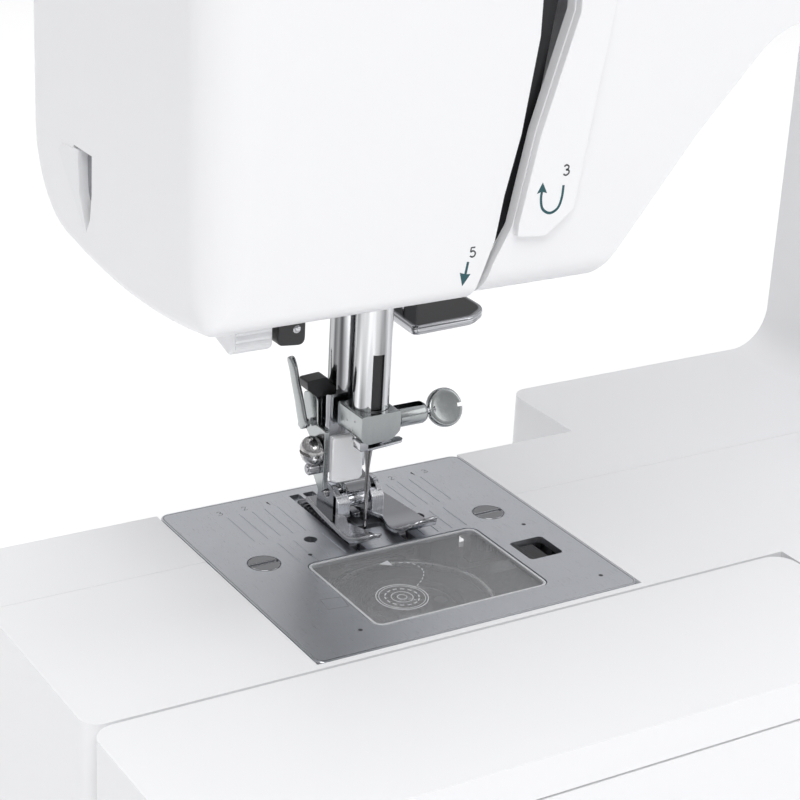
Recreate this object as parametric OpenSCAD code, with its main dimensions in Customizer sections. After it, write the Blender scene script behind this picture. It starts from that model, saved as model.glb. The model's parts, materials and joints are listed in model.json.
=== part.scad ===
// Domestic free-arm sewing machine. Millimetres, +Z up, origin at the bottom centre of the whole machine.
// Inside at_origin() the origin is where the needle's axis meets the needle plate: +X to the pillar, +Y to the back.

/* [Overall] */
// Width of the whole machine, handwheel included
total_w = 400; // [396:1:404]
// Depth of the base block
total_d = 150; // [148:1:154]
// Height of the bed above the table that the machine stands on
bed_h = 88; // [86:1:92]
// Height of the arm's top above the bed
arm_top = 204; // [202:1:208]
// Wall of the moulded housings
wall = 2.5; // [2:0.1:3]

/* [Free arm and bed] */
// Needle to the left end of the free arm
left_end = 88.6; // [86:0.1:90]
// Needle to the front of the free arm
arm_front = 50.4; // [50:0.1:51]
// Needle to the back of the free arm
arm_rear = 24.7; // [24.7:0.1:26]
// Thickness of the free arm
arm_t = 52; // [51:0.5:54]
// Left face of the base block behind the free arm
block_x = 74.3; // [73:0.1:76]
// Left face of the base block in front of the free arm
block_front_x = 78; // [77.6:0.1:80]

/* [Head and arm] */
// Needle to the head's front face
head_front = 36; // [35.8:0.1:36.4]
// Needle to the head's back face
head_rear = 48; // [47.6:0.1:48.4]
// Height of the head's lower edge above the bed
head_z = 65.5; // [65.2:0.1:66]
// Needle to the head's left face
head_left = 58.5; // [58:0.1:59]
// Height of the arm's underside above the bed
harp_h = 116; // [115:1:118]
// Needle to the pillar
pillar_x = 160; // [158:1:162]
// Radius between the pillar and the bed
pillar_r = 11; // [9:1:13]

/* [Needle plate] */
// Width of the needle plate
plate_w = 79; // [79:0.1:79.4]
// Depth of the needle plate
plate_d = 73.2; // [73:0.1:73.4]
// Thickness of the needle plate
plate_t = 1.6; // [1.4:0.1:1.8]

/* [Mechanism] */
// Height of the upper shaft above the bed
shaft_z = 160; // [159:0.5:161]
// Stroke of the needle bar
stroke = 31; // [29:0.5:31]
// Radius of the needle bar
bar_r = 4.05; // [4:0.05:4.1]
// Presser bar behind the needle
presser_y = 10; // [10:0.1:10.2]
// Height of the lower shaft
lower_z = -38; // [-38.5:0.1:-37.8]
// Hook axis in front of the needle
hook_y = -20.5; // [-20.7:0.1:-20.3]
// Running clearance of shafts in their bores
fit = 0.05; // [0.03:0.01:0.08]

/* [Hidden] */
$fn = 48;
eps = 0.01;
right_x = 296;                       // right face of the base block and pillar
foot_h = 4;                          // rubber feet
floor_z = -bed_h;                    // table surface
table_front = total_d - 53;          // needle to the front of the base block
block_rear = 53;                     // needle to the back of the base block
plate_x = -39;
plate_y = -48.6;
hook_x = 0.6;
// Screws in the back of the housing
screw_points = [[90, block_rear - 1, -40], [200, block_rear - 1, -40], [284, block_rear - 1, -12],
    [172, block_rear - 1, 40], [284, block_rear - 1, 90]];
clamp_z = 25.6;                      // axis of the needle clamp's screw
motor_y = -28;
motor_z = -45;
take_up_y = 16;
take_up_z = 186;
WHITE = [0.93, 0.93, 0.95];
STEEL = [0.62, 0.64, 0.67];
CHROME = [0.8, 0.81, 0.83];
BLACK = [0.09, 0.09, 0.1];

module at_origin() translate([left_end - total_w / 2, table_front - total_d / 2, bed_h]) children();
module along_x() rotate([90, 0, 90]) children();                 // a profile drawn in Y, Z and run along X
module along_y(y) translate([0, y, 0]) rotate([90, 0, 0]) children();   // a profile in X, Z, towards -Y from y
module rod_x(x0, x1, y, z, r) translate([x0, y, z]) rotate([0, 90, 0]) cylinder(h = x1 - x0, r = r);
module rod_y(x, y0, y1, z, r) translate([x, y1, z]) rotate([90, 0, 0]) cylinder(h = y1 - y0, r = r);
module rod_z(x, y, z0, z1, r) translate([x, y, z0]) cylinder(h = z1 - z0, r = r);
module block(x0, x1, y0, y1, z0, z1) translate([x0, y0, z0]) cube([x1 - x0, y1 - y0, z1 - z0]);

// Rectangle with round corners, drawn from its lower left corner
module round_rect(w, h, r) {
    translate([r, 0]) square([w - 2 * r, h]);
    translate([0, r]) square([w, h - 2 * r]);
    for (x = [r, w - r], y = [r, h - r]) translate([x, y]) circle(r);
}
module round_plate(x0, x1, y0, y1, z0, z1, r)
    translate([x0, y0, z0]) linear_extrude(z1 - z0) round_rect(x1 - x0, y1 - y0, r);

// Points of an arc about c from angle a to angle b
function arc(c, r, a, b, n = 8) =
    [for (i = [0:n]) let (t = a + (b - a) * i / n) c + r * [cos(t), sin(t)]];

// ---- Housings ----------------------------------------------------------------------------------

// Side view of the head and arm, front to back, inset by w on every side
module head_profile(w) polygon(concat(
    arc([-head_front + 6, head_z + 6], 6 - w, 180, 270),
    arc([head_rear - 22, head_z + 22], 22 - w, 270, 360, 12),
    arc([head_rear - 12, arm_top - 12], 12 - w, 0, 90),
    arc([-head_front + 12, arm_top - 12], 12 - w, 90, 180)));

// Front view of the arm, from the slot to the pillar, with its slanted shoulder; w is the wall
module arm_outline(w) {
    polygon(concat(
        [[2.2 + w, head_z + w], [30.3 - w / 2, head_z + w], [53 - w * 0.7, 94 + w * 0.7]],
        arc([82 - w / 2, harp_h - 20 + w], 20, 141, 90, 5),
        arc([pillar_x - 18, harp_h - 18 + w], 18 + w, 90, 0),
        [[pillar_x + w, harp_h - 40], [pillar_x + w, -wall - 4], [right_x - w, -wall - 4],
         [right_x - w, arm_top - w], [19.5 + w, arm_top - w], [19.5 + w, 122],
         [12.4 + w, 98.7], [8.6 + w, 80], [4.6 + w, 72.5]]));
}

// The space inside the head between x0 and x1
module head_hollow(x0, x1) intersection() {
    translate([x0, 0, 0]) along_x() linear_extrude(x1 - x0) head_profile(wall);
    block(x0 - 1, x1 + 1, -60, 60, head_z + 8, arm_top);
}

// The arm and pillar as one solid, inset by w
module arm_solid(w) intersection() {
    along_y(60) linear_extrude(110) arm_outline(w);
    union() {
        translate([-2, 0, 0]) along_x() linear_extrude(right_x) intersection() {
            head_profile(w);
            translate([-60, head_z - 2]) square([120, 150]);
        }
        block(pillar_x + w, right_x, -head_front + w, block_rear - w, -10, arm_top - 24 - w);
        block(pillar_x - 2, right_x, -head_front + w, head_rear - w, -10, head_z + 30);
    }
}

// The free arm and base block as one solid, inset by w
module bed_solid(w) {
    round_plate(-left_end + w, block_front_x + 8, -arm_front + w, arm_rear - w, -arm_t + w, -w, 4);
    round_plate(block_x + w, right_x - w, -arm_front, block_rear - w, floor_z + foot_h, -w, 5);
    round_plate(block_front_x + w, right_x - w, -table_front + w, block_rear - w, floor_z + foot_h, -w, 5);
}

// Concave fillet between the bed and the pillar
module pillar_fillet() difference() {
    block(pillar_x - pillar_r, pillar_x + 1, -head_front, block_rear, -1, pillar_r);
    rod_y(pillar_x - pillar_r, -60, 60, pillar_r, pillar_r);
}

module housing_shell() difference() {
    union() {
        arm_solid(0);
        bed_solid(0);
        pillar_fillet();
    }
    arm_solid(wall);
    bed_solid(wall);
    block(pillar_x + wall, right_x - wall, -head_front + wall, block_rear - wall, -8, 4);
    // the open bottom of the base block and free arm, closed by base_cover
    block(-left_end + 8, block_x + 9, -arm_front + 6, arm_rear - 6, -arm_t - 1, -arm_t + wall + 1);
    block(block_front_x + 6, right_x - 6, -table_front + 6, block_rear - 6, floor_z, floor_z + 12);
    // inside the bed, between the free arm and the base block
    block(block_x - 4, block_front_x + 8, -arm_front + wall, arm_rear - wall, -arm_t + wall, -wall);
    // seat and window of the needle plate
    block(plate_x - 0.2, plate_x + plate_w + 0.2, plate_y - 0.2, plate_y + plate_d + 0.1, -plate_t, 1);
    block(plate_x + 3, plate_x + plate_w - 3, plate_y + 4, plate_y + plate_d - 4, -5, 1);
    // the arm opens into the head, whose underside and top are open too
    head_hollow(0, 30);
    block(-10, 27, -head_front + 8, head_rear - 12, head_z - 1, head_z + 9);
    block(0, right_x + 1, -70, 70, arm_top - 12, arm_top + 1);
    // slot that the presser lifter swings back through
    block(18.5, 25.5, 10, head_rear + 3, head_z - 1, 104);
    // handwheel shaft, power unit, reverse lever, dials and tension wheel
    rod_x(right_x - 5, right_x + 1, 0, shaft_z, 9);
    block(right_x - 5, right_x + 1, 8, 46, -72, -22);
    block(196, 206, -head_front - 4, -head_front + 4, 14, 40);
    for (d = [[228, 66, 5], [228, 128, 4]]) rod_y(d[0], -head_front - 4, -head_front + 4, d[1], d[2]);
    block(57, 67, -head_front - 2, -head_front + 8, 162, 196);
    // drop-feed slot in the back of the free arm
    block(40, 60, arm_rear - 4, arm_rear + 1, -24, -16);
}

module front_housing() color(WHITE) at_origin() {
    difference() {
        housing_shell();
        block(-200, 400, 0, 100, -100, 300);
    }
    // pivot of the reverse lever
    for (x = [190, 209]) block(x, x + 4, -head_front + 2, -15, 23, 31);
    rod_x(190, 213, -18, 27, 1.75);
}
module rear_housing() color(WHITE) at_origin() difference() {
    housing_shell();
    block(-200, 400, -200, eps * 10, -100, 300);
    for (p = screw_points) rod_y(p[0], p[1] - 1.45, p[1] + 2, p[2], 3.45);
}

// Head: one shell whose right edge follows the thread slot
module head_outline(w) polygon(concat(
    arc([-head_left + 5, head_z + 5], 5 - w, 180, 270),
    [[0.8 - w, head_z + w], [3.4 - w, 72], [5.8 - w, 77.5], [7.6 - w, 84.5], [10.3 - w, 98.7], [12 - w, 118],
     [12 - w, arm_top - 12 - eps], [-head_left + w, arm_top - 12 - eps]]));
module head_cover() color(WHITE) at_origin() {
    // flap behind the seam at the back of the head
    block(-4, 24, head_rear - wall - 2.3, head_rear - wall - 0.1, 90, arm_top - 13);
    block(-4, 0, head_rear - wall - 2.3, head_rear - wall + 0.5, 90, arm_top - 13);
    head_shell();
}
module head_shell() difference() {
    intersection() {
        along_y(60) linear_extrude(120) head_outline(0);
        translate([-60, 0, 0]) along_x() linear_extrude(80) head_profile(0);
    }
    intersection() {
        along_y(60) linear_extrude(120) head_outline(wall);
        translate([-60, 0, 0]) along_x() linear_extrude(80) head_profile(wall);
    }
    head_hollow(-20, 20);
    block(-50, 20, -head_front + 7, head_rear - 16, head_z - 1, head_z + 9);
    // pocket of the thread cutter
    block(-head_left - 1, -head_left + 4, 15, 28, 71, 87);
}

// Raised panel beside the thread slot
module front_panel() color(WHITE) at_origin() along_y(-head_front) linear_extrude(2)
    polygon([[8.7, 78.3], [15.5, 77.6], [22, 82.5], [24.3, 98], [28, 122], [28, 160], [19.7, 160], [19.7, 122],
        [12.6, 98.7], [8.9, 81]]);

// Open tray let into the top, with a wall and floor of t
module tray(x0, x1, y0, y1, z0, t) difference() {
    block(x0 - t, x1 + t, y0 - t, y1 + t, z0 - t, arm_top - 1);
    block(x0, x1, y0, y1, z0, arm_top + 1);
}
module top_cover() color(WHITE) at_origin() difference() {
    union() {
        difference() {
            translate([-head_left, 0, 0]) along_x() linear_extrude(right_x + head_left) intersection() {
                head_profile(0);
                translate([-60, arm_top - 12]) square([120, 20]);
            }
            translate([-head_left + wall, 0, 0]) along_x() linear_extrude(right_x + head_left - 2 * wall)
                intersection() {
                    head_profile(wall);
                    translate([-60, arm_top - 13]) square([120, 20]);
                }
            block(78, 206, -31, -1, arm_top - 8, arm_top + 1);
            block(212, 282, 3, 31, arm_top - 10, arm_top + 1);
            block(96, 206, 4, 31, arm_top - 10, arm_top + 1);
        }
        intersection() {
            union() {
                tray(78, 206, -31, -1, arm_top - 8, 1.4);
                tray(212, 282, 3, 31, arm_top - 10, 1.4);
                tray(96, 206, 4, 31, arm_top - 10, 1.4);
            }
            along_x() linear_extrude(right_x) head_profile(0);
        }
        // pivots of the handle, the spool pin and the bobbin winder
        for (x = [77, 191]) rod_x(x, x + 16, -6, 200.5, 1.35);
        rod_y(102, 3, 32, 199, 1.45);
        rod_z(222, 18, 177, arm_top - 11, 2.5);
    }
    // slot for the winder's spindle
    for (a = [-9:3:9]) translate([222, 18, 0]) rotate([0, 0, a]) rod_z(34, 0, 190, 196, 3);
}

// Tray under the base block, with a sill that closes the free arm's underside
module base_cover() color(WHITE) at_origin() {
    difference() {
        union() {
            round_plate(block_front_x + 6.3, right_x - 6.3, -table_front + 6.3, block_rear - 6.3,
                floor_z + foot_h, floor_z + 12, 3);
            round_plate(-left_end + 8.3, block_x + 8.7, -arm_front + 6.3, arm_rear - 6.3,
                -arm_t, -arm_t + wall, 3);
        }
        round_plate(block_front_x + 9, right_x - 9, -table_front + 9, block_rear - 9,
            floor_z + foot_h + wall, floor_z + 13, 2);
        for (y = [-60, -50, -40, -30, -20]) block(180, 230, y, y + 4, floor_z, floor_z + 8);
    }
}

module rubber_feet() color(BLACK) at_origin()
    for (x = [98, 276], y = [-80, 36]) difference() {
        rod_z(x, y, floor_z, floor_z + foot_h, 8);
        rod_z(x, y, floor_z - 1, floor_z + 1.5, 2.5);
    }

module housing_screws() color(STEEL) at_origin()
    for (p = screw_points) difference() {
        rod_y(p[0], p[1] - 1.4, p[1] + 0.9, p[2], 3.4);
        block(p[0] - 3, p[0] + 3, p[1] + 0.2, p[1] + 2, p[2] - 0.5, p[2] + 0.5);
    }

// ---- Frame -------------------------------------------------------------------------------------

// A bearing block on the frame's spine, bored for a shaft along X
module x_bearing(x0, x1, z, r) difference() {
    block(x0, x1, -r - 4, 17, z - r - 3.5, z + r + 3.5);
    rod_x(x0 - 1, x1 + 1, 0, z, r + fit);
}

// Die-cast spine through the free arm, pillar and arm, with the bearings that carry the mechanism
module chassis() color([0.55, 0.56, 0.58]) at_origin() {
    difference() {
        union() {
            block(28, 90, 15, 20, lower_z - 6, -8);
            block(90 - eps, 272, 15, 20, -72, -10);
            block(188, 224, 15, 20, -12, 130);
            block(-14, 272, 15, 20, 126, 150);
            block(-14, 24, 15, 20, 76, 198);
            block(23, 40, 15, 20, 110, 198);
        }
        // windows for the drop-feed lever, the crank and the take-up lever
        block(36, 64, 14, 21, -29, -11);
        rod_x(6, 14.5, 0, shaft_z, 21);
        rod_x(3.5, 8.5, 0, shaft_z, 30);
        block(12.5, 18.5, 14, 21, 176, 199);
    }
    block(42 - 2, 56, 15, 20, 149, 169);
    // pivot of the presser lifter
    block(12, 18, 18, 30, 86, 98);
    rod_x(17, 23.9, 26, 92, 3);
    x_bearing(42, 54, shaft_z, 6);
    x_bearing(250, 262, shaft_z, 6);
    block(250, 262, 15, 20, 149, 169);
    x_bearing(58, 68, lower_z, 5);
    x_bearing(245, 255, lower_z, 5);
    // presser bar guides
    for (z = [76, 118]) difference() {
        block(-7.5, 3.4, 5.4, 15.5, z, z + 8);
        rod_z(0, presser_y, z - 1, z + 10, 4 + fit);
    }
    // yoke over the needle bar that carries the pivot of the needle bar frame
    block(-6, 6, -22, 16, 193.2, 198);
    block(-6, 6, -22, -17.5, 181, 194);
    rod_y(0, -18, -6.8, 187, 3);
    // pivot of the take-up lever
    block(20, 30, take_up_y - 7, 16, take_up_z - 7, take_up_z + 7);
    rod_x(13.4, 21, take_up_y, take_up_z, 3);
    // motor cradle
    block(172, 226, motor_y - 24, motor_y - 20, motor_z - 26, motor_z + 10);
    block(172, 226, motor_y - 24, 17, -75, -70);
    block(172, 226, 15, 20, -75, -71);
}

module motor_body() color(STEEL) at_origin() difference() {
    union() {
        rod_x(172, 226, motor_y, motor_z, 20);
        rod_x(226 - eps, 230, motor_y, motor_z, 8);
        for (x = [178, 214]) block(x, x + 8, motor_y - 20, motor_y + 2, motor_z - 24.9, motor_z - 15);
    }
    rod_x(176, 222, motor_y, motor_z, 14);
    rod_x(170, 240, motor_y, motor_z, 2.5 + fit);
}

module circuit_board() color([0.1, 0.35, 0.2]) at_origin() {
    block(96, 156, -84, -44, -60, -58.4);
    for (x = [102, 118, 134]) block(x, x + 9, -78, -62, -58.5, -50);
    rod_z(148, -56, -58.5, -44, 5);
    for (x = [100, 150], y = [-80, -48]) rod_z(x, y, -81.5, -60 + eps, 2.5);
}

// A closed belt around two wheels whose axes run along X
module belt(x0, x1, a, ra, b, rb, t) {
    d = b - a;
    l = norm(d);
    ang = atan2(d[1], d[0]);
    lean = acos((ra - rb) / l);
    module loop(g) polygon(concat(
        arc(a, ra + g, ang + lean, ang + 360 - lean, 20),
        arc(b, rb + g, ang - lean, ang + lean, 20)));
    translate([x0, 0, 0]) along_x() linear_extrude(x1 - x0) difference() {
        loop(t + 0.3);
        loop(0.3);
    }
}
module timing_belt() color(BLACK) at_origin() belt(234, 242, [0, shaft_z], 12, [0, lower_z], 12, 1.6);
module motor_belt() color(BLACK) at_origin() belt(277, 283, [0, shaft_z], 20, [motor_y, motor_z], 5, 1.6);

// ---- Needle plate and hook cover ----------------------------------------------------------------

module needle_plate() color(STEEL) at_origin() difference() {
    union() {
        round_plate(plate_x, plate_x + plate_w, plate_y, plate_y + plate_d, -plate_t, 0, 2.6);
        // ledge that carries the hook cover
        block(-24, 25, -43.5, -41, -5, -plate_t + eps);
    }
    round_plate(-21, 22.3, -40.9, -10, -6, 1, 2.6);
    round_plate(24.7, 33.4, -29.6, -20.7, -6, 1, 1);
    // stitch slot and feed-dog slots
    round_plate(-4.8, 4.8, -1, 1, -3, 1, 0.9);
    for (x = [-7.6, 5]) round_plate(x, x + 2.6, -9.6, 21.4, -3, 1, 0.4);
    for (x = [-4.1, 1.3]) round_plate(x, x + 2.8, 3.2, 21.4, -3, 1, 0.4);
    for (x = [-13.85, 13.85]) rod_z(x, -0.2, -3, 1, 1.5);
    for (p = [[-28.4, -6], [29.4, -5.5]]) {
        rod_z(p[0], p[1], -3, 1, 2.2);
        rod_z(p[0], p[1], -0.8, 1, 3.7);
    }
    // engraved seam guides
    for (s = [-1, 1], k = [0:4]) {
        block(s * (12.7 + 3.175 * k) - 0.15, s * (12.7 + 3.175 * k) + 0.15, 4, 17.6, -0.15, 1);
        if (k > 0) block(s * (10 + 3.75 * (k - 1)) - 0.15, s * (10 + 3.75 * (k - 1)) + 0.15, -9, 1.2, -0.15, 1);
    }
}

module plate_screws() color(CHROME) at_origin()
    for (p = [[-28.4, -6], [29.4, -5.5]]) difference() {
        union() {
            rod_z(p[0], p[1], -9, -0.8, 2.1);
            rod_z(p[0], p[1], -0.8, 0.1, 3.5);
        }
        block(p[0] - 4, p[0] + 4, p[1] - 0.5, p[1] + 0.5, -0.5, 1);
    }

module hook_cover() color([0.8, 0.85, 0.9, 0.4]) at_origin() {
    round_plate(-20.7, 22, -40.6, -10.3, -1.6, -0.1, 2.4);
    block(-14, 16, -40.4, -39, -3.4, -1.59);
}
module cover_button() color(BLACK) at_origin() {
    block(25, 31, -29.3, -21, -4.6, -1.2);
    block(25, 26.5, -29.3, -21, -1.3, -0.3);
}

// Black cup that holds the bobbin inside the hook
module bobbin_case() color(BLACK) at_origin() difference() {
    rod_z(hook_x, hook_y, -24, -9, 16.6);
    rod_z(hook_x, hook_y, -22.5, -8, 11.2);
}
module bobbin() color([0.85, 0.88, 0.92, 0.5]) at_origin() difference() {
    union() {
        for (z = [-22.2, -11.4]) rod_z(hook_x, hook_y, z, z + 1.2, 10.2);
        rod_z(hook_x, hook_y, -22, -11, 4.5);
    }
    rod_z(hook_x, hook_y, -23, -8, 3);
}
module hook_race() color(STEEL) at_origin() {
    difference() {
        rod_z(hook_x, hook_y, -27, -8, 18.4);
        rod_z(hook_x, hook_y, -24.6, -7, 17);
        block(hook_x - 2, hook_x + 7, -60, hook_y - 15, -16, -7);
    }
    rod_z(hook_x, hook_y, -47, -26.9, 3.5);
    gear_z(hook_x, hook_y, -42, -34, 9.8, 12);
}

// Spur gear outline with n teeth
module gear_profile(r, n) polygon([for (i = [0:n - 1], k = [0:3])
    let (a = 360 / n * (i + [0.08, 0.3, 0.55, 0.83][k]), q = k == 1 || k == 2 ? r : r * 0.84) q * [cos(a), sin(a)]]);
module gear_z(x, y, z0, z1, r, n) translate([x, y, z0]) linear_extrude(z1 - z0) gear_profile(r, n);
module gear_x(x0, x1, y, z, r, n) translate([x0, y, z]) along_x() linear_extrude(x1 - x0) gear_profile(r, n);

module upper_shaft() color(STEEL) at_origin() {
    rod_x(13.2, 302, 0, shaft_z, 6);
    rod_x(234, 242, 0, shaft_z, 12);
    rod_x(277, 283, 0, shaft_z, 20);
}
module handwheel() color(WHITE) at_origin() {
    difference() {
        union() {
            rod_x(right_x + 1, 311.4, 0, shaft_z, 34);
            rod_x(right_x - 3, right_x + 2, 0, shaft_z, 8);
        }
        rod_x(right_x + 6, 312, 0, shaft_z, 20);
        rod_x(right_x - 4, 302, 0, shaft_z, 6);
        for (a = [0:15:345]) translate([0, 0, shaft_z]) rotate([a, 0, 0]) rod_x(right_x, 312, 0, 35.2, 2);
    }
    rod_x(302, 309, 0, shaft_z, 11);
}
module crank() color(STEEL) at_origin() {
    difference() {
        rod_x(10, 13.2, 0, shaft_z, 19);
        rod_x(9, 12, 0, shaft_z + 9, 6);
    }
    rod_x(8.6, 10 + eps, 0, shaft_z - stroke / 2, 3);
}
module lower_shaft() color(STEEL) at_origin() {
    rod_x(-8, 255, 0, lower_z, 5);
    gear_x(-6, 6, 0, lower_z, 9.8, 12);
    rod_x(24, 30, 0, lower_z, 8);
    rod_x(234, 242, 0, lower_z, 12);
}
module motor_rotor() color(STEEL) at_origin() {
    rod_x(168, 284, motor_y, motor_z, 2.5);
    rod_x(180, 218, motor_y, motor_z, 13.6);
    rod_x(277, 283, motor_y, motor_z, 5);
}

// ---- Needle bar, take-up lever and presser bar ---------------------------------------------------

module needle_bar_frame() color([0.5, 0.5, 0.53]) at_origin() difference() {
    union() {
        block(-7, 7, -11, -7.4, 78, 192);
        for (z = [78, 146]) block(-7, 7, -11, 5, z, z + 12);
    }
    rod_z(0, 0, 70, 200, bar_r + fit);
    // the bearings are open on the link's side
    block(3, 8, -7.4, 6, 77, 200);
    block(4.2, 8, -12, -7.3, 77, 200);
    rod_y(0, -12, -6, 187, 3 + fit);
    for (z = [102, 124]) block(-4, 4, -12, -7, z, z + 14);
}

module needle_bar() color(CHROME) at_origin() difference() {
    union() {
        rod_z(0, 0, 22.2, 160, bar_r);
        block(-6, 4.2, -6, 4.5, 99, 110);
        rod_x(4, 8.2, 0, 104.5, 2.5);
    }
    // groove down the front of the bar
    block(-1.5, 1, -5, -2.6, 29.6, 42.6);
    // hole for the needle's shank
    rod_z(0, 0, 10, 27, 1.05);
}
module needle_clamp() color(CHROME) at_origin() {
    difference() {
        round_plate(-5.1, 4.5, -5.2, 5, 22.9, 29.4, 1);
        rod_z(0, 0, 20, 32, bar_r);
    }
    // thread guide under the block
    difference() {
        block(-5.1, 6, -5.2, 1.5, 21.2, 22);
        rod_z(0, 0, 10, 30, 1.3);
        block(2.6, 6.5, -4, -3.1, 20, 23);
    }
    block(-5.1, -4.2, -5.2, 1.5, 21.9, 23);
    difference() {
        rod_x(4.4, 13.9, 0, clamp_z, 2.4);
        rod_x(4.2, 15, 0, clamp_z, 1.55);
    }
}
// Thumb screw: a coin-shaped paddle on edge, with a short slot in its rim
module clamp_screw() color(CHROME) at_origin() {
    rod_x(4.7, 14.6, 0, clamp_z, 1.5);
    rod_x(14.5, 16.2, 0, clamp_z, 0.85);
    translate([19.2, 0, clamp_z]) rotate([62, 0, 0]) difference() {
        cylinder(h = 2, r = 4.4, center = true);
        translate([3, -0.4, -2]) cube([3, 0.8, 4]);
    }
}
module needle() color(STEEL) at_origin() difference() {
    union() {
        rod_z(0, 0, 18.5, 27, 1);
        translate([0, 0, 14.5]) cylinder(h = 4 + eps, r1 = 0.5, r2 = 1);
        rod_z(0, 0, -1, 14.5 + eps, 0.5);
        translate([0, 0, -4]) cylinder(h = 3 + eps, r1 = 0.08, r2 = 0.5);
    }
    block(-0.18, 0.18, -2, 2, 1.2, 2.6);
}

// Link between the needle bar's pin and the crank pin
module connecting_link() color([0.5, 0.5, 0.53]) at_origin() translate([4.7, 0, 0]) along_x()
    linear_extrude(2.6) difference() {
        union() {
            translate([0, 104.5]) circle(5.2);
            translate([0, shaft_z - stroke / 2]) circle(6.2);
            translate([-3, 104.5]) square([6, 40]);
        }
        translate([0, 104.5]) circle(2.5 + fit);
        translate([0, shaft_z - stroke / 2]) circle(3.4);
    }

module take_up_lever() color(CHROME) at_origin() difference() {
    union() {
        rod_x(14.2, 17.2, take_up_y, take_up_z, 6);
        translate([14.2, 0, 0]) along_x() linear_extrude(3) polygon([[take_up_y + 1, take_up_z + 4],
            [take_up_y + 1, take_up_z - 4], [take_up_y - 4, take_up_z - 4], [-36, 162], [-42, 158.5],
            [-44.5, 160.5], [-44, 164.5], [-38, 169], [take_up_y - 5, take_up_z + 2]]);
    }
    rod_x(10, 20, take_up_y, take_up_z, 3 + fit);
    rod_x(10, 20, -41.2, 162.6, 1.3);
}

module presser_bar() color(CHROME) at_origin() {
    rod_z(0, presser_y, 15, 152, 4);
    difference() {
        round_plate(-6, 6, 5.5, 14.8, 98, 106, 1.5);
        rod_z(0, presser_y, 95, 110, 4 - eps);
    }
}
// Bracket clamped on the presser bar, with the ankle that the foot snaps to
module foot_holder() color(CHROME) at_origin() difference() {
    union() {
        block(-7.2, 5, 5.9, 14.5, 12, 29);
        block(-8.6, -7.1, 5.5, 14.5, 11, 33);
        block(-5.4, 2.4, 5.2, 6.6, 9.6, 20.4);
        block(-2, 2.4, 5.2, 6.6, 4.6, 9.7);
        for (x = [-2, 2.6]) block(x, x + 1.4, 5.3, 12, 4.6, 14);
        rod_x(-10.4, -8.5, presser_y, 12.6, 1.3);
    }
    rod_z(0, presser_y, 15, 40, 4);
    rod_x(-6, 7.5, 8, 6.4, 1.15);
    rod_x(-20, -3, presser_y, 17, 1.6);
    rod_x(-10, -6, 12.4, 22, 1.1);
    block(-12, 6, 15.5, 3, 0, 5);
}
module holder_screw() color(CHROME) at_origin() {
    difference() {
        rod_x(-11.8, -8.6, presser_y, 17, 3);
        block(-12, -11, 4, 16, 16.6, 17.4);
    }
    rod_x(-8.7, -4.4, presser_y, 17, 1.55);
}
module foot_release_lever() color(STEEL) at_origin() {
    translate([-10.4, 0, 0]) along_x() linear_extrude(1.4) difference() {
        union() {
            translate([12.4, 22]) circle(2.2);
            polygon([[11, 20.4], [14.4, 21], [17.6, 24.4], [19.2, 29], [19.4, 34], [21, 38.6], [20.4, 40.4],
                [18.8, 40.2], [17.4, 36], [16.8, 30], [15.4, 26.4], [12.4, 24]]);
        }
        translate([12.4, 22]) circle(1.05);
    }
    rod_x(-10.41, -7.4, 12.4, 22, 1.06);
}
// Zigzag foot: a sole with turned-up toes, and the ears of its cross pin
module presser_foot() color(CHROME) at_origin() difference() {
    union() {
        translate([-8.8, 0, 0]) along_x() linear_extrude(21.4) polygon(concat(
            [[15, 1.1], [15, 2.5], [-7, 2.5]], arc([-7, 7.3], 4.8, 270, 225, 5),
            arc([-7, 7.3], 6.2, 225, 270, 5)));
        for (x = [-5.6, 4.2]) block(x, x + 2.6, 4, 12, 2.4, 8);
        rod_x(-5.6, 6.8, 8, 6.4, 1.1);
    }
    round_plate(-4.6, 4.6, -3.6, 3.2, 0, 4, 1.4);
    block(-2.2, 2.2, -16, -3, 0, 8);
    for (s = [-1, 1]) translate([1.9 + s * 15.4, -15, 0]) rotate([0, 0, s * 45]) block(-5, 5, -9, 9, 0, 9);
}
module presser_lifter() color(CHROME) at_origin() {
    round_plate(17, 38, 11, 25.9, 38.9, 40.9, 3);
    block(20, 24, 20.2, 25.9, 40, 88);
    difference() {
        rod_x(18.6, 24, 26, 92, 6);
        rod_x(18, 25, 26, 92, 3 + fit);
        block(19.9, 24.1, 19, 32, 30, 80);
    }
}

// ---- Feed ---------------------------------------------------------------------------------------

module feed_bar() color([0.5, 0.5, 0.53]) at_origin() {
    block(-12, 12, 8, 13.5, -14, -6.2);
    block(-12, -8, 0.8, 13.5, -12, -6.2);
    block(8, 12, 0.8, 13.5, -12, -6.2);
}
module feed_dog() color(STEEL) at_origin() difference() {
    union() {
        block(-9, 9, -7, 18.4, -5.5, -4);
        for (x = [-7.2, 5.4]) {
            block(x, x + 1.8, -6, 18.4, -4.1, -0.6);
            for (i = [0:15]) tooth(x, -6 + i * 1.5, 1.8);
        }
        for (x = [-3.7, 1.7]) {
            block(x, x + 2, 6, 18.4, -4.1, -0.6);
            for (i = [0:7]) tooth(x, 6 + i * 1.5, 2);
        }
    }
    rod_z(0, 0, -7, 0, 3.6);
}
// One saw tooth of the feed dog
module tooth(x, y, w) translate([x, y, -0.61]) along_x() linear_extrude(w)
    polygon([[0, 0], [1.5, 0], [1.2, 1.2], [0.9, 1.2]]);

// ---- Levers, dials and covers --------------------------------------------------------------------

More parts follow.
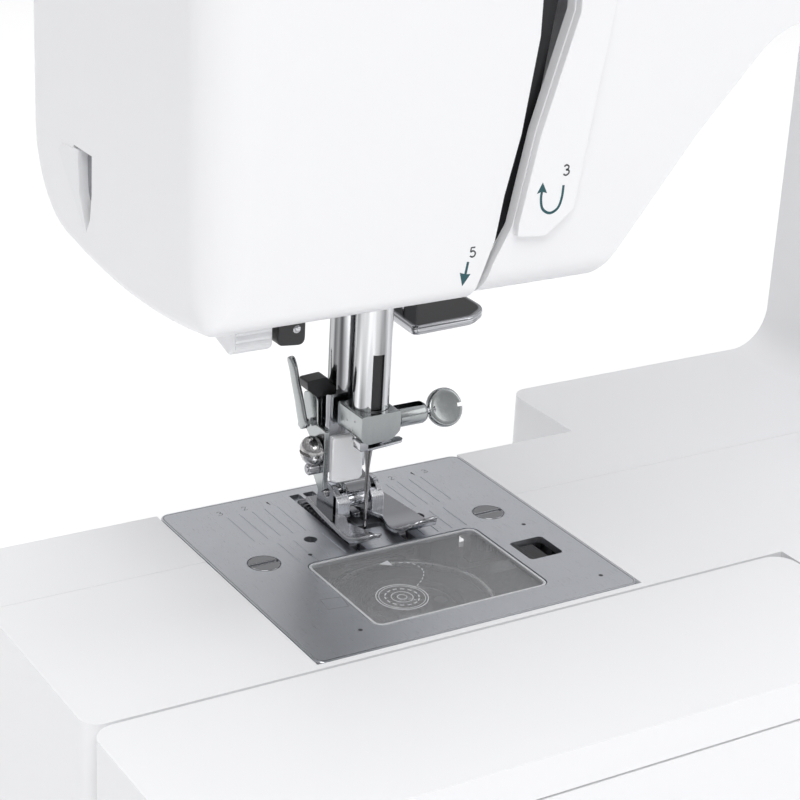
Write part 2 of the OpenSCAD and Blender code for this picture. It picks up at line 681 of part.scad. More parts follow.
module thread_cutter() color(WHITE) at_origin() {
    difference() {
        block(-head_left + 0.2, -head_left + 3.8, 15.3, 27.7, 71.3, 86.7);
        block(-head_left - 1, -head_left + 2.6, 18, 23, 70, 84.6);
    }
    block(-head_left + 0.8, -head_left + 2.7, 21.6, 22.3, 74, 84);
}
module lamp() color([0.95, 0.95, 0.85, 0.5]) at_origin() {
    round_plate(14, 26, 5, 14.9, 70, 74, 2);
    block(15, 25, 10, 14.9, 73, 81);
}
module tension_discs() color(CHROME) at_origin() {
    rod_x(36, 68, -29, 179, 1.85);
    block(37, 41, -head_front + wall, -24, 172, 186);
    for (x = [44, 47]) rod_x(x, x + 0.8, -29, 179, 4.3);
    rod_x(48, 52, -29, 179, 3.4);
}
module tension_dial() color(WHITE) at_origin() difference() {
    rod_x(58, 66, -29, 179, 13);
    rod_x(57, 67, -29, 179, 1.9);
    for (a = [0:20:340]) translate([0, -29, 179]) rotate([a, 0, 0]) rod_x(57, 67, 0, 13.8, 1.6);
}
module power_socket() color(BLACK) at_origin() {
    difference() {
        union() {
            block(right_x - 22, right_x - 0.2, 9, 45, -46, -23);
            block(right_x - 2.2, right_x - 0.2, 8.1, 45.9, -71.9, -22.1);
        }
        block(right_x - 16, right_x + 1, 14, 40, -42, -27);
        block(right_x - 3, right_x, 11.4, 42.6, -69, -49);
    }
    // contacts
    for (y = [20, 27, 34]) block(right_x - 16.1, right_x - 6, y - 0.9, y + 0.9, -37, -32);
    // bearings of the rocker
    for (y = [8.4, 43]) block(right_x - 9, right_x - 2.1, y, y + 2.6, -62, -56);
    rod_y(right_x - 6, 10, 44, -59, 1.2);
}
module power_switch() color(BLACK) at_origin() translate([right_x - 6, 0, 0]) along_y(42) linear_extrude(30)
    difference() {
        polygon([[-2, -62], [2.5, -67], [7.6, -67.5], [6, -59], [4.4, -50.5], [2.5, -51], [-2, -56]]);
        translate([0, -59]) circle(1.25);
    }
module buttonhole_lever() color(WHITE) at_origin() {
    round_plate(-49, -40, -28.4, -17, 57, 92, 1.5);
    for (z = [60, 62, 64]) block(-48, -41, -29.1, -28.3, z, z + 0.7);
}
module threader_lever() color(BLACK) at_origin() {
    round_plate(-39, -33, -28.6, -18, 57.5, 92, 1.2);
    rod_y(-34.8, -29.3, -28.5, 62.5, 1);
}
module reverse_lever() color(WHITE) at_origin() {
    block(197, 205, -46, -20, 25, 29);
    round_plate(194, 208, -52, -45.9, 20, 34, 2.5);
    difference() {
        rod_x(197, 205, -18, 27, 4);
        rod_x(196, 206, -18, 27, 1.8);
    }
}
module dial(x, z, r, h) {
    difference() {
        union() {
            rod_y(x, -head_front - 2.4 - h * 0.4, -head_front - 2.4, z, r);
            rod_y(x, -head_front - 2.4 - h, -head_front - 2, z, r * 0.72);
            rod_y(x, -head_front - 3, -head_front + 8, z, r > 20 ? 4.9 : 3.9);
        }
        for (a = [0:20:340]) translate([x, 0, z]) rotate([0, a, 0]) rod_y(r * 0.76, -100, -head_front - 2.2 - h * 0.4, 0, 1.6);
    }
}
module pattern_dial() color(WHITE) at_origin() dial(228, 66, 27, 12);
module stitch_length_dial() color(WHITE) at_origin() dial(228, 128, 16, 9);

// Bobbin winder: an arm that swings to the stop, and the spindle that spins on it
module winder_arm() color([0.5, 0.5, 0.53]) at_origin() difference() {
    union() {
        block(222, 258, 14, 22, 180, 184);
        rod_z(222, 18, 180, 184, 6);
        rod_z(256, 18, 180, 189, 5);
    }
    rod_z(222, 18, 170, 200, 2.5 + fit);
    rod_z(256, 18, 170, 200, 2.2 + fit);
}
module winder_spindle() color(CHROME) at_origin() {
    rod_z(256, 18, 178, 203.6, 2.2);
    rod_z(256, 18, 195.5, 197, 6);
    rod_z(256, 18, 174, 178, 8);
}
module winder_stop() color(WHITE) at_origin() {
    rod_z(274, 18, arm_top - 10, 202, 4);
    rod_z(222, 18, 175.6, 177, 4.5);
}
module spool_pin() color(BLACK) at_origin() difference() {
    union() {
        rod_x(102, 196, 18, 199, 2.6);
        rod_y(102, 12, 24, 199, 4);
        rod_x(105, 107.5, 18, 199, 4.6);
    }
    rod_y(102, 11, 25, 199, 1.5);
}
module carry_handle() color(WHITE) at_origin() {
    block(84, 200, -28, -17, 197.5, 203.6);
    for (x = [84, 192]) block(x, x + 8, -22, -8.2, 197.5, 203.6);
    for (x = [84, 192]) difference() {
        rod_x(x, x + 8, -6, 200.5, 3);
        rod_x(x - 1, x + 9, -6, 200.5, 1.4);
    }
}
module drop_feed_lever() color(BLACK) at_origin() {
    block(42, 50, arm_rear - 6, arm_rear + 2, -22, -18);
    block(42, 50, arm_rear - 6, arm_rear - 2.6, -27, -13);
}

// Slide-off extension table with its storage box
module extension_table() color(WHITE) at_origin() difference() {
    union() {
        round_plate(-left_end, block_front_x - 0.6, -table_front, -arm_front - 0.8, floor_z, 0, 5);
        round_plate(-left_end, block_x - 1, -arm_front - 8, block_rear - 30, floor_z, -arm_t - 0.8, 5);
    }
    // storage box, open to the front
    block(-left_end + 4.5, block_front_x - 5, -table_front - 1, -arm_front - 3.4, floor_z + 8, -8.5);
    block(-left_end + 4.5, block_x - 4, -arm_front - 3.5, block_rear - 33, floor_z + 8, -arm_t - 3.6);
    rod_x(-left_end + 2, block_front_x - 2.5, -table_front + 2.6, floor_z + 12, 1 + fit);
}
module table_lid() color(WHITE) at_origin() {
    block(-left_end + 5, block_front_x - 5.5, -table_front, -table_front + 2.4, floor_z + 10.2, -9);
    rod_x(-left_end + 2.5, block_front_x - 3, -table_front + 2.6, floor_z + 12, 1);
    rod_x(-left_end + 5, block_front_x - 5.5, -table_front + 2.2, floor_z + 12, 1.8);
}

// ---- Output --------------------------------------------------------------------------------------
base_cover();
front_housing();
rear_housing();
head_cover();
front_panel();
top_cover();
chassis();
rubber_feet();
needle_plate();
plate_screws();
thread_cutter();
lamp();
tension_discs();
power_socket();
motor_body();
circuit_board();
bobbin_case();
timing_belt();
motor_belt();
housing_screws();
winder_stop();
upper_shaft();
handwheel();
crank();
lower_shaft();
hook_race();
motor_rotor();
bobbin();
needle_bar_frame();
needle_bar();
needle_clamp();
needle();
clamp_screw();
connecting_link();
take_up_lever();
presser_bar();
foot_holder();
holder_screw();
presser_lifter();
presser_foot();
foot_release_lever();
feed_bar();
feed_dog();
buttonhole_lever();
threader_lever();
hook_cover();
cover_button();
reverse_lever();
pattern_dial();
stitch_length_dial();
tension_dial();
winder_arm();
winder_spindle();
spool_pin();
carry_handle();
power_switch();
drop_feed_lever();
extension_table();
table_lid();
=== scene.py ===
import json
import math
import bpy
import bmesh
from mathutils import Vector, Matrix


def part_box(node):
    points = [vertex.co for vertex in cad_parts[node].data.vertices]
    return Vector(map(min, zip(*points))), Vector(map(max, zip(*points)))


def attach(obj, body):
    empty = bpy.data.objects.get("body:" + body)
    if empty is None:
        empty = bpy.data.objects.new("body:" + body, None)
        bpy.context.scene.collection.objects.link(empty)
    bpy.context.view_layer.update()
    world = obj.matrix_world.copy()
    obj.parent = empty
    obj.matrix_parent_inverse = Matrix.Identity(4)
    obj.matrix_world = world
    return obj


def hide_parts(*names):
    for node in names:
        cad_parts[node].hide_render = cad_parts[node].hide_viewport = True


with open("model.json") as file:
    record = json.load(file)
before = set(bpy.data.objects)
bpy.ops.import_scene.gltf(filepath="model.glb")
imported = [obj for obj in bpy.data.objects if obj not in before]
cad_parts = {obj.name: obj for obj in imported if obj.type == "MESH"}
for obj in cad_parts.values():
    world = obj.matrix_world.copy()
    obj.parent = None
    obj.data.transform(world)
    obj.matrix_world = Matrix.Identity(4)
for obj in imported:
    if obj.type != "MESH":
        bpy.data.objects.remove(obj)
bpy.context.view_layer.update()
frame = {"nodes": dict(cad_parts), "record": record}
NODES = frame["nodes"]
MM = 0.001
SAME_POINT = 0.0000005  # points of a piece nearer than this, in metres, are merged

# The needle's axis at the top of the needle plate is the datum for every size below, in millimetres
_lo, _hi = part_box("needle")
DATUM = Vector(((_lo.x + _hi.x) / 2, (_lo.y + _hi.y) / 2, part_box("needle_plate")[1].z))


def P(x, y, z):
    return DATUM + Vector((x, y, z)) * MM


def local(node):
    """A CAD node's box in millimetres around the datum."""
    lo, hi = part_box(node)
    return (lo - DATUM) / MM, (hi - DATUM) / MM


# ---- Camera, light and floor -------------------------------------------------------------------

CAMERA_AT = (-221.1, -360.5, 206.4)
CAMERA_RIGHT = (0.8543, -0.5173, 0.0498)
CAMERA_FORWARD = (0.4947, 0.7801, -0.3831)
SENSOR_WIDTH, FOCAL_LENGTH = 36, 94.96

# Places and sides in metres: the lights stand around the machine, all aimed at its middle
LIGHTS_AIM = (0, 0, 0.1)
LIGHTS = (  # name, place, side, power
    ("key", (-0.5, -0.9, 1.3), 1.0, 10),
    ("fill", (1.1, -0.7, 0.7), 0.8, 2.5),
    ("top", (0, 0.3, 1.5), 1.4, 8.3),
)
SKY_STRENGTH = 0.62
SKY_RAMP = ((0.0, (0.5, 0.5, 0.52, 1)), (0.8, (1.0, 1.0, 1.0, 1)))  # from the horizon upwards

FLOOR_HALF, FLOOR_CELLS, FLOOR_Z = 4.0, 24, -0.0003
FLOOR_COLOR, FLOOR_ROUGHNESS, FLOOR_GLOW = (0.94, 0.94, 0.945), 0.75, 0.16


def camera():
    right = Vector(CAMERA_RIGHT).normalized()
    forward = Vector(CAMERA_FORWARD)
    forward = (forward - right * forward.dot(right)).normalized()
    up = right.cross(forward)
    data = bpy.data.cameras.new("camera")
    data.sensor_width, data.lens = SENSOR_WIDTH, FOCAL_LENGTH
    data.clip_start, data.clip_end = 0.01, 20
    obj = bpy.data.objects.new("camera", data)
    pose = Matrix((right, up, -forward)).transposed().to_4x4()
    pose.translation = P(*CAMERA_AT)
    obj.matrix_world = pose
    bpy.context.scene.collection.objects.link(obj)
    bpy.context.scene.camera = obj


def area_light(name, at, side, power):
    light = bpy.data.lights.new(name, "AREA")
    light.energy, light.shape = power, "RECTANGLE"
    light.size = light.size_y = side
    obj = bpy.data.objects.new(name, light)
    obj.location = at
    obj.rotation_euler = (Vector(LIGHTS_AIM) - Vector(at)).to_track_quat("-Z", "Y").to_euler()
    bpy.context.scene.collection.objects.link(obj)


def sky():
    """A pale grey at the horizon that turns white overhead."""
    world = bpy.data.worlds.new("studio")
    world.use_nodes = True
    bpy.context.scene.world = world
    nt = world.node_tree
    background = nt.nodes["Background"]
    tc = nt.nodes.new("ShaderNodeTexCoord")
    axes = nt.nodes.new("ShaderNodeSeparateXYZ")
    ramp = nt.nodes.new("ShaderNodeValToRGB")
    for element, (position, color) in zip(ramp.color_ramp.elements, SKY_RAMP):
        element.position, element.color = position, color
    nt.links.new(tc.outputs["Generated"], axes.inputs[0])
    nt.links.new(axes.outputs["Z"], ramp.inputs[0])
    nt.links.new(ramp.outputs[0], background.inputs["Color"])
    background.inputs["Strength"].default_value = SKY_STRENGTH


def floor():
    """A white paper floor under the machine, with a faint glow that keeps its shadows light."""
    n, s = FLOOR_CELLS, FLOOR_HALF
    points = [(-s + 2 * s * i / n, -s + 2 * s * j / n, FLOOR_Z) for j in range(n + 1) for i in range(n + 1)]
    corners = [j * (n + 1) + i for j in range(n) for i in range(n)]
    mesh = bpy.data.meshes.new("floor")
    mesh.from_pydata(points, [], [(k, k + 1, k + n + 2, k + n + 1) for k in corners])
    obj = bpy.data.objects.new("floor", mesh)
    bpy.context.scene.collection.objects.link(obj)
    paper = material("floor_paper", FLOOR_COLOR, FLOOR_ROUGHNESS,
        Emission_Color=(1, 1, 1, 1), Emission_Strength=FLOOR_GLOW)[0]
    obj.data.materials.append(paper)


def studio():
    view = bpy.context.scene.view_settings
    view.view_transform, view.look, view.exposure = "Standard", "None", 0
    sky()
    for light in LIGHTS:
        area_light(*light)
    floor()


# ---- Materials ---------------------------------------------------------------------------------

# Painted reflection on polished metal: tones along the noise that follows a face's direction, as (position, tone)
PAINTED_REFLECTION_TONES = ((0.30, 0.25), (0.42, 0.80), (0.50, 0.45), (0.56, 1.0), (0.66, 0.60), (0.76, 1.0))

# Moulded plastics, and the inks, the cover's painted edge highlight and the painted shade of small hollows made
# the same way.
# key: material's name, colour, roughness, tint of the drift, grain scale, grain depth in metres
PLASTICS = {
    "white_part": ("white_part_plastic", (0.84, 0.845, 0.86), 0.34, 0.98, 2200, 0.000006),
    "black_plastic": ("black_plastic", (0.018, 0.018, 0.02), 0.34, 0.6, 2600, 0.000012),
    "rubber": ("rubber", (0.03, 0.03, 0.03), 0.75, 0.7, 1500, 0.00004),
    "circuit_board": ("circuit_board", (0.02, 0.14, 0.06), 0.4, 0.7, 1200, 0.00003),
    # painted highlight: the clear cover's edge as a brighter opaque ring
    "clear_edge": ("clear_edge", (0.60, 0.61, 0.63), 0.16, 0.95, 900, 0.00001),
    "clear_line": ("clear_line", (0.66, 0.67, 0.69), 0.35, 0.95, 900, 0.00001),
    "print_grey": ("print_grey", (0.05, 0.055, 0.06), 0.5, 0.85, 900, 0.000004),
    "print_teal": ("print_teal", (0.012, 0.085, 0.10), 0.5, 0.85, 900, 0.000004),
    # painted shade: dark discs for the plate's dimples and the bobbin's windows
    "print_dark": ("print_dark", (0.045, 0.045, 0.05), 0.5, 0.85, 900, 0.000004),
    "engraved": ("engraved_mark", (0.22, 0.225, 0.24), 0.5, 0.85, 900, 0.000004),
}

# key: material's name, colour, roughness, stretch of the grain, grain scale, grain depth in metres, tint of
# the drift, scale of the drift and, for a painted reflection, (scale, darkest tone) of its tones
METALS = {
    "plate_steel": ("plate_steel", (0.74, 0.76, 0.80), 0.34, (1, 0.02, 1), 9000, 0.0000012, 0.93, 60),
    "steel": ("ground_steel", (0.46, 0.46, 0.48), 0.3, (0.05, 1, 1), 4000, 0.000003, 0.8, 120),
    # rows that end in (scale, darkest tone) get a painted reflection in their colour
    "chrome": ("chrome_plating", (0.74, 0.75, 0.77), 0.09, (1, 1, 0.1), 1500, 0.0000008, 0.94, 300,
        (1.5, 0.12)),
    "needle_steel": ("needle_steel", (0.55, 0.54, 0.53), 0.16, (1, 1, 0.1), 2500, 0.0000006, 0.92, 400,
        (1.5, 0.3)),
    "steel_bright": ("turned_steel", (0.66, 0.65, 0.64), 0.17, (0.1, 1, 1), 2500, 0.0000012, 0.9, 300,
        (1.5, 0.3)),
    "bright_steel": ("bright_satin_steel", (0.86, 0.87, 0.90), 0.24, (1, 1, 0.1), 1500, 0.0000008, 0.97, 200),
    "casting": ("cast_aluminium", (0.42, 0.43, 0.45), 0.5, (1, 1, 1), 900, 0.00003, 0.8, 40),
    "satin": ("satin_nickel", (0.44, 0.46, 0.46), 0.20, (1, 1, 0.2), 1200, 0.0000002, 0.95, 150),
    "foot_chrome": ("foot_chrome", (0.74, 0.75, 0.78), 0.16, (1, 0.3, 1), 1600, 0.0000006, 0.92, 260,
        (2.0, 0.25)),
    # painted reflection: the lifter's chrome top, its dark reflection painted into a near-black colour
    "dark_mirror": ("dark_mirror", (0.035, 0.036, 0.038), 0.14, (1, 1, 1), 1200, 0.0000006, 0.8, 160),
}

M = {}


def material(name, color, roughness, metallic=0.0, **sockets):
    mat = bpy.data.materials.new(name)
    mat.use_nodes = True
    nt = mat.node_tree
    b = nt.nodes["Principled BSDF"]
    b.inputs["Base Color"].default_value = (*color, 1)
    b.inputs["Roughness"].default_value = roughness
    b.inputs["Metallic"].default_value = metallic
    for key, value in sockets.items():
        b.inputs[key.replace("_", " ")].default_value = value
    return mat, nt, b


def coords(nt, stretch=(1, 1, 1)):
    tc = nt.nodes.new("ShaderNodeTexCoord")
    mapping = nt.nodes.new("ShaderNodeMapping")
    mapping.inputs["Scale"].default_value = stretch
    nt.links.new(tc.outputs["Object"], mapping.inputs[0])
    return mapping.outputs[0]


def noise(nt, vector, scale, detail, rough=0.5):
    n = nt.nodes.new("ShaderNodeTexNoise")
    n.inputs["Scale"].default_value = scale
    n.inputs["Detail"].default_value = detail
    n.inputs["Roughness"].default_value = rough
    nt.links.new(vector, n.inputs["Vector"])
    return n.outputs["Fac"]


def spread(nt, fac, low, high, start=0.3, end=0.7):
    """Maps a noise between start and end onto values between low and high."""
    r = nt.nodes.new("ShaderNodeMapRange")
    r.inputs["From Min"].default_value, r.inputs["From Max"].default_value = start, end
    r.inputs["To Min"].default_value, r.inputs["To Max"].default_value = low, high
    nt.links.new(fac, r.inputs["Value"])
    return r.outputs["Result"]


def mix(nt, fac, c1, c2):
    """Two colours mixed by fac."""
    m = nt.nodes.new("ShaderNodeMix")
    m.data_type = "RGBA"
    m.inputs[6].default_value, m.inputs[7].default_value = (*c1, 1), (*c2, 1)
    nt.links.new(fac, m.inputs[0])
    return m.outputs[2]


def multiply(nt, c1, c2):
    m = nt.nodes.new("ShaderNodeMix")
    m.data_type, m.blend_type = "RGBA", "MULTIPLY"
    m.inputs[0].default_value = 1.0
    nt.links.new(c1, m.inputs[6])
    nt.links.new(c2, m.inputs[7])
    return m.outputs[2]


def bump(nt, b, height, distance):
    n = nt.nodes.new("ShaderNodeBump")
    n.inputs["Distance"].default_value = distance
    n.inputs["Strength"].default_value = 1.0
    nt.links.new(height, n.inputs["Height"])
    nt.links.new(n.outputs[0], b.inputs["Normal"])


def moulded(name, color, rough, tint, grain, depth, **sockets):
    """Moulded plastic: slow colour drift, worn-in gloss variation and a fine mould texture."""
    mat, nt, b = material(name, color, rough, **sockets)
    v = coords(nt)
    drift = mix(nt, noise(nt, v, 6, 1), color, tuple(c * tint for c in color))
    nt.links.new(drift, b.inputs["Base Color"])
    gloss = spread(nt, noise(nt, v, 38, 1.5, 0.4), rough * 0.88, rough * 1.12, 0.1, 0.9)
    nt.links.new(gloss, b.inputs["Roughness"])
    bump(nt, b, noise(nt, v, grain, 2), depth)
    return mat


def painted_reflection(nt, scale, darkest):
    """Painted reflection: a tone of its own for each way that a face points, bright and dark like a mirrored
    room.
    """
    tc = nt.nodes.new("ShaderNodeTexCoord")
    ramp = nt.nodes.new("ShaderNodeValToRGB")
    ramp.color_ramp.interpolation = "EASE"
    for k, (at, value) in enumerate(PAINTED_REFLECTION_TONES):
        e = ramp.color_ramp.elements[k] if k < 2 else ramp.color_ramp.elements.new(at)
        value = darkest + (1 - darkest) * value
        e.position, e.color = at, (value, value, value * 1.01, 1)
    nt.links.new(noise(nt, tc.outputs["Normal"], scale, 1.5), ramp.inputs[0])
    return ramp.outputs[0]


def metal(name, color, rough, grain, scale, depth, tint, spots, shade=None):
    """Metal: fine directional grain, slow tone drift and faint handling marks in the gloss."""
    mat, nt, b = material(name, color, rough, 1.0)
    tone = mix(nt, noise(nt, coords(nt), spots, 4, 0.65), color, tuple(c * tint for c in color))
    # painted reflection: tones set by the way a face points, multiplied into the colour
    if shade:
        tone = multiply(nt, tone, painted_reflection(nt, *shade))
    nt.links.new(tone, b.inputs["Base Color"])
    streak = noise(nt, coords(nt, grain), scale, 3, 0.6)
    nt.links.new(spread(nt, streak, rough * 0.75, rough * 1.3), b.inputs["Roughness"])
    bump(nt, b, streak, depth)
    return mat


def clear_plastic():
    mat, nt, b = material("clear_plastic", (0.93, 0.95, 0.97), 0.07, Transmission_Weight=1.0, IOR=1.46)
    nt.links.new(spread(nt, noise(nt, coords(nt), 500, 5, 0.7), 0.03, 0.14), b.inputs["Roughness"])
    return mat


def cover_plastic():
    """The clear cover over the hook: thin, and a little cloudy."""
    mat, nt, b = material("cover_plastic", (0.80, 0.81, 0.83), 0.10, Alpha=0.17)
    v = coords(nt)
    nt.links.new(spread(nt, noise(nt, v, 60, 3, 0.6), 0.07, 0.16), b.inputs["Roughness"])
    cloud = mix(nt, noise(nt, v, 35, 3, 0.6), (0.78, 0.79, 0.81), (0.84, 0.85, 0.87))
    nt.links.new(cloud, b.inputs["Base Color"])
    return mat


def bar_reflection_paint():
    """Plated bars: a painted reflection, dark and bright streaks along their length in the colour."""
    mat, nt, b = material("bar_reflection_paint", (0.5, 0.5, 0.5), 0.12, 1.0)
    lengthwise = coords(nt, (1, 1, 0.02))
    streak = spread(nt, noise(nt, lengthwise, 330, 2), 0.0, 1.0, 0.38, 0.60)
    # painted reflection: the streaks mix a near-black and a bright grey into the colour
    nt.links.new(mix(nt, streak, (0.09, 0.09, 0.095), (0.80, 0.81, 0.82)), b.inputs["Base Color"])
    nt.links.new(spread(nt, noise(nt, lengthwise, 1500, 3, 0.6), 0.09, 0.17), b.inputs["Roughness"])
    return mat


def make_materials():
    for key, row in PLASTICS.items():
        M[key] = moulded(*row)
    for key, row in METALS.items():
        M[key] = metal(*row)
    M["white"] = moulded("white_plastic", (0.86, 0.862, 0.875), 0.30, 0.985, 1800, 0.000006,
        Specular_IOR_Level=0.45)
    # painted light: the holder's front plate glows a little, lifting it out of the clamp's shadow
    M["ankle_white_glow"] = moulded("plated_face_painted_glow", (0.93, 0.935, 0.95), 0.28, 0.98, 1500, 0.000002,
        Metallic=0.25, Emission_Color=(1, 1, 1, 1), Emission_Strength=0.14)
    M["clear_plastic"] = clear_plastic()
    M["cover_plastic"] = cover_plastic()
    M["bar_reflection_paint"] = bar_reflection_paint()


# ---- CAD nodes that keep their shape ------------------------------------------------------------

WELD_DISTANCE = 0.000002  # metres
FLAT_ANGLE, EDGE_ANGLE = math.radians(0.3), math.radians(32)


def keep(node, mat, width):
    """Gives a CAD node its material, and rounds its hard edges with modifiers; its mesh stays as it is."""
    obj = NODES[node]
    obj.data.materials.clear()
    obj.data.materials.append(mat)
    if "custom_normal" in obj.data.attributes:
        obj.data.attributes.remove(obj.data.attributes["custom_normal"])
    obj.data.polygons.foreach_set("use_smooth", [True] * len(obj.data.polygons))
    m = obj.modifiers.new("weld", "WELD")
    m.merge_threshold = WELD_DISTANCE
    m = obj.modifiers.new("planar", "DECIMATE")
    m.decimate_type, m.angle_limit = "DISSOLVE", FLAT_ANGLE
    m = obj.modifiers.new("edges", "BEVEL")
    m.width, m.segments = width * MM, 2
    m.limit_method, m.angle_limit = "ANGLE", EDGE_ANGLE
    m.harden_normals = True
    m.use_clamp_overlap = True


# ---- Mesh tools --------------------------------------------------------------------------------

BEVEL_ANGLE = math.radians(35)


def closed_object(name, shape):
    """An object from points in millimetres around the datum, with its faces turned outwards."""
    verts, faces = shape
    mesh = bpy.data.meshes.new(name)
    mesh.from_pydata([P(*v) for v in verts], [], faces)
    bm = bmesh.new()
    bm.from_mesh(mesh)
    bmesh.ops.remove_doubles(bm, verts=bm.verts, dist=SAME_POINT)
    bmesh.ops.recalc_face_normals(bm, faces=bm.faces)
    bm.to_mesh(mesh)
    bm.free()
    obj = bpy.data.objects.new(name, mesh)
    bpy.context.scene.collection.objects.link(obj)
    return obj


def cutter(shape):
    return closed_object("cutter", shape)


def bake(obj):
    """Applies the modifiers."""
    if not obj.modifiers:
        return
    graph = bpy.context.evaluated_depsgraph_get()
    mesh = bpy.data.meshes.new_from_object(obj.evaluated_get(graph))
    old = obj.data
    obj.modifiers.clear()
    obj.data = mesh
    bpy.data.meshes.remove(old)


def solid(name, shape, look, body, bevel=0.0, segments=2, sharp=40, replaces=(), cuts=()):
    """A finished piece that rides on a body. It is cut, then bevelled; without a bevel its edges steeper than
    sharp degrees stay hard. look is its material."""
    obj = closed_object(name, shape)
    obj.data.polygons.foreach_set("use_smooth", [True] * len(obj.data.polygons))
    for k, tool in enumerate(cuts):
        m = obj.modifiers.new(f"cut{k}", "BOOLEAN")
        m.operation, m.solver, m.object = "DIFFERENCE", "EXACT", tool
    if bevel:
        m = obj.modifiers.new("edges", "BEVEL")
        m.width, m.segments = bevel * MM, segments
        m.limit_method, m.angle_limit = "ANGLE", BEVEL_ANGLE
        m.harden_normals = True
        m.miter_outer = "MITER_ARC"
    bake(obj)
    if not bevel:
        obj.data.set_sharp_from_angle(angle=math.radians(sharp))
    for tool in cuts:
        bpy.data.objects.remove(tool)
    obj.data.materials.clear()
    obj.data.materials.append(M[look])
    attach(obj, body)
    if replaces:
        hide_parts(*replaces)


def prism(outline, a, b, axis):
    """A closed outline pushed along an axis: outline holds the other two coordinates, in x, y, z order."""
    put = {"x": lambda p, t: (t, p[0], p[1]), "y": lambda p, t: (p[0], t, p[1]), "z": lambda p,
        t: (p[0], p[1], t)}
    put = put[axis]
    n = len(outline)
    verts = [put(p, a) for p in outline] + [put(p, b) for p in outline]
    faces = [tuple(range(n)), tuple(range(2 * n - 1, n - 1, -1))]
    faces += [(i, (i + 1) % n, n + (i + 1) % n, n + i) for i in range(n)]
    return verts, faces


def box(x0, x1, y0, y1, z0, z1):
    return prism([(x0, y0), (x1, y0), (x1, y1), (x0, y1)], z0, z1, "z")


def lathe(profile, at, axis, n=40):
    """A profile of (distance along the axis, radius) turned about an axis through the point at."""
    verts, faces, rings = [], [], []
    for t, r in profile:
        ring = []
        for k in range(n if r > 1e-6 else 1):
            a = 2 * math.pi * k / n
            u, v = r * math.cos(a), r * math.sin(a)
            d = {"x": (t, u, v), "y": (v, t, u), "z": (u, v, t)}[axis]
            ring.append(len(verts))
            verts.append(tuple(at[i] + d[i] for i in range(3)))
        rings.append(ring)
    for a, b in zip(rings, rings[1:]):
        if len(a) == 1 and len(b) == 1:
            continue
        for i in range(n):
            j = (i + 1) % n
            if len(a) == 1:
                faces.append((a[0], b[i], b[j]))
            elif len(b) == 1:
                faces.append((a[i], b[0], a[j]))
            else:
                faces.append((a[i], b[i], b[j], a[j]))
    faces += [tuple(ring) for ring in (rings[0], rings[-1]) if len(ring) > 1]
    return verts, faces


def bore_for(axis, radius, low, high):
    """A cutter for a hole that a bar stands in."""
    return cutter(lathe([(low, 0), (low, radius), (high, radius), (high, 0)], axis, "z", 40))


def loft(rings, caps=True):
    """A skin over closed rings of equal length, each ring's last point joined to its first."""
    n = len(rings[0])
    verts = [p for ring in rings for p in ring]
    faces = []
    for k in range(len(rings) - 1):
        for i in range(n):
            j = (i + 1) % n
            faces.append((k * n + i, k * n + j, (k + 1) * n + j, (k + 1) * n + i))
    if caps:
        faces.append(tuple(range(n)))
        faces.append(tuple(range((len(rings) - 1) * n, len(rings) * n)))
    return verts, faces


def tube(points, radius, n=12):
    """A round rod along points."""
    pts = [Vector(p) for p in points]
    side = None
    rings = []
    for i, p in enumerate(pts):
        d = (pts[min(i + 1, len(pts) - 1)] - pts[max(i - 1, 0)]).normalized()
        side = d.orthogonal() if side is None else side - d * side.dot(d)
        side = side.normalized()
        other = d.cross(side)
        turn = [2 * math.pi * k / n for k in range(n)]
        rings.append([tuple(p + (side * math.cos(q) + other * math.sin(q)) * radius) for q in turn])
    return loft(rings)


def join(*parts):
    verts, faces = [], []
    for v, f in parts:
        base = len(verts)
        verts += v
        faces += [tuple(base + i for i in face) for face in f]
    return verts, faces


def bend(points, n=6):
    """A smooth line through the points (Catmull-Rom)."""
    out = []
    ext = [points[0]] + list(points) + [points[-1]]
    for i in range(1, len(ext) - 2):
        p0, p1, p2, p3 = (Vector(q) for q in ext[i - 1:i + 3])
        for k in range(n):
            t = k / n
            out.append(tuple(0.5 * (2 * p1 + (p2 - p0) * t + (2 * p0 - 5 * p1 + 4 * p2 - p3) * t * t
                + (3 * p1 - p0 - 3 * p2 + p3) * t ** 3)))
    out.append(tuple(points[-1]))
    return out


def rounded(pts, radii, n=5):
    """A closed outline with each corner rounded, by one radius or by a radius for each corner."""
    out = []
    for i, p in enumerate(pts):
        p = Vector(p)
        r = radii if isinstance(radii, (int, float)) else radii[i]
        if r <= 0:
            out.append(tuple(p))
            continue
        a, b = Vector(pts[i - 1]), Vector(pts[(i + 1) % len(pts)])
        u, v = (a - p).normalized(), (b - p).normalized()
        half = math.acos(max(-1, min(1, u.dot(v)))) / 2
        d = min(r / math.tan(half), (a - p).length * 0.49, (b - p).length * 0.49)
        for k in range(n + 1):
            t = k / n
            out.append(tuple((p + u * d) * (1 - t) ** 2 + p * 2 * t * (1 - t) + (p + v * d) * t * t))
    return out


def circle(c, r, n=24, start=0.0, end=2 * math.pi):
    """Points on a circle, or on an arc of it that includes both of its ends."""
    full = abs(end - start - 2 * math.pi) < 1e-6
    angles = [start + (end - start) * k / (n if full else n - 1) for k in range(n)]
    return [(c[0] + r * math.cos(a), c[1] + r * math.sin(a)) for a in angles]


def stroke(points, width):
    """The outline of a pen stroke along points."""
    left, right = [], []
    n = len(points)
    for i, p in enumerate(points):
        a, b = Vector(points[max(i - 1, 0)]), Vector(points[min(i + 1, n - 1)])
        d = (b - a).normalized() * (width / 2)
        left.append((p[0] - d.y, p[1] + d.x))
        right.append((p[0] + d.y, p[1] - d.x))
    return left + right[::-1]


# ---- Head --------------------------------------------------------------------------------------

WALL = 2.5
REAR_RADIUS, CHIN_RADIUS, BACK_EDGE, SIDE_EDGE = 22.0, 3.4, 5.0, 9.0


def arc(steps):
    """Angles of a quarter turn."""
    return [math.radians(90 * k / steps) for k in range(steps + 1)]


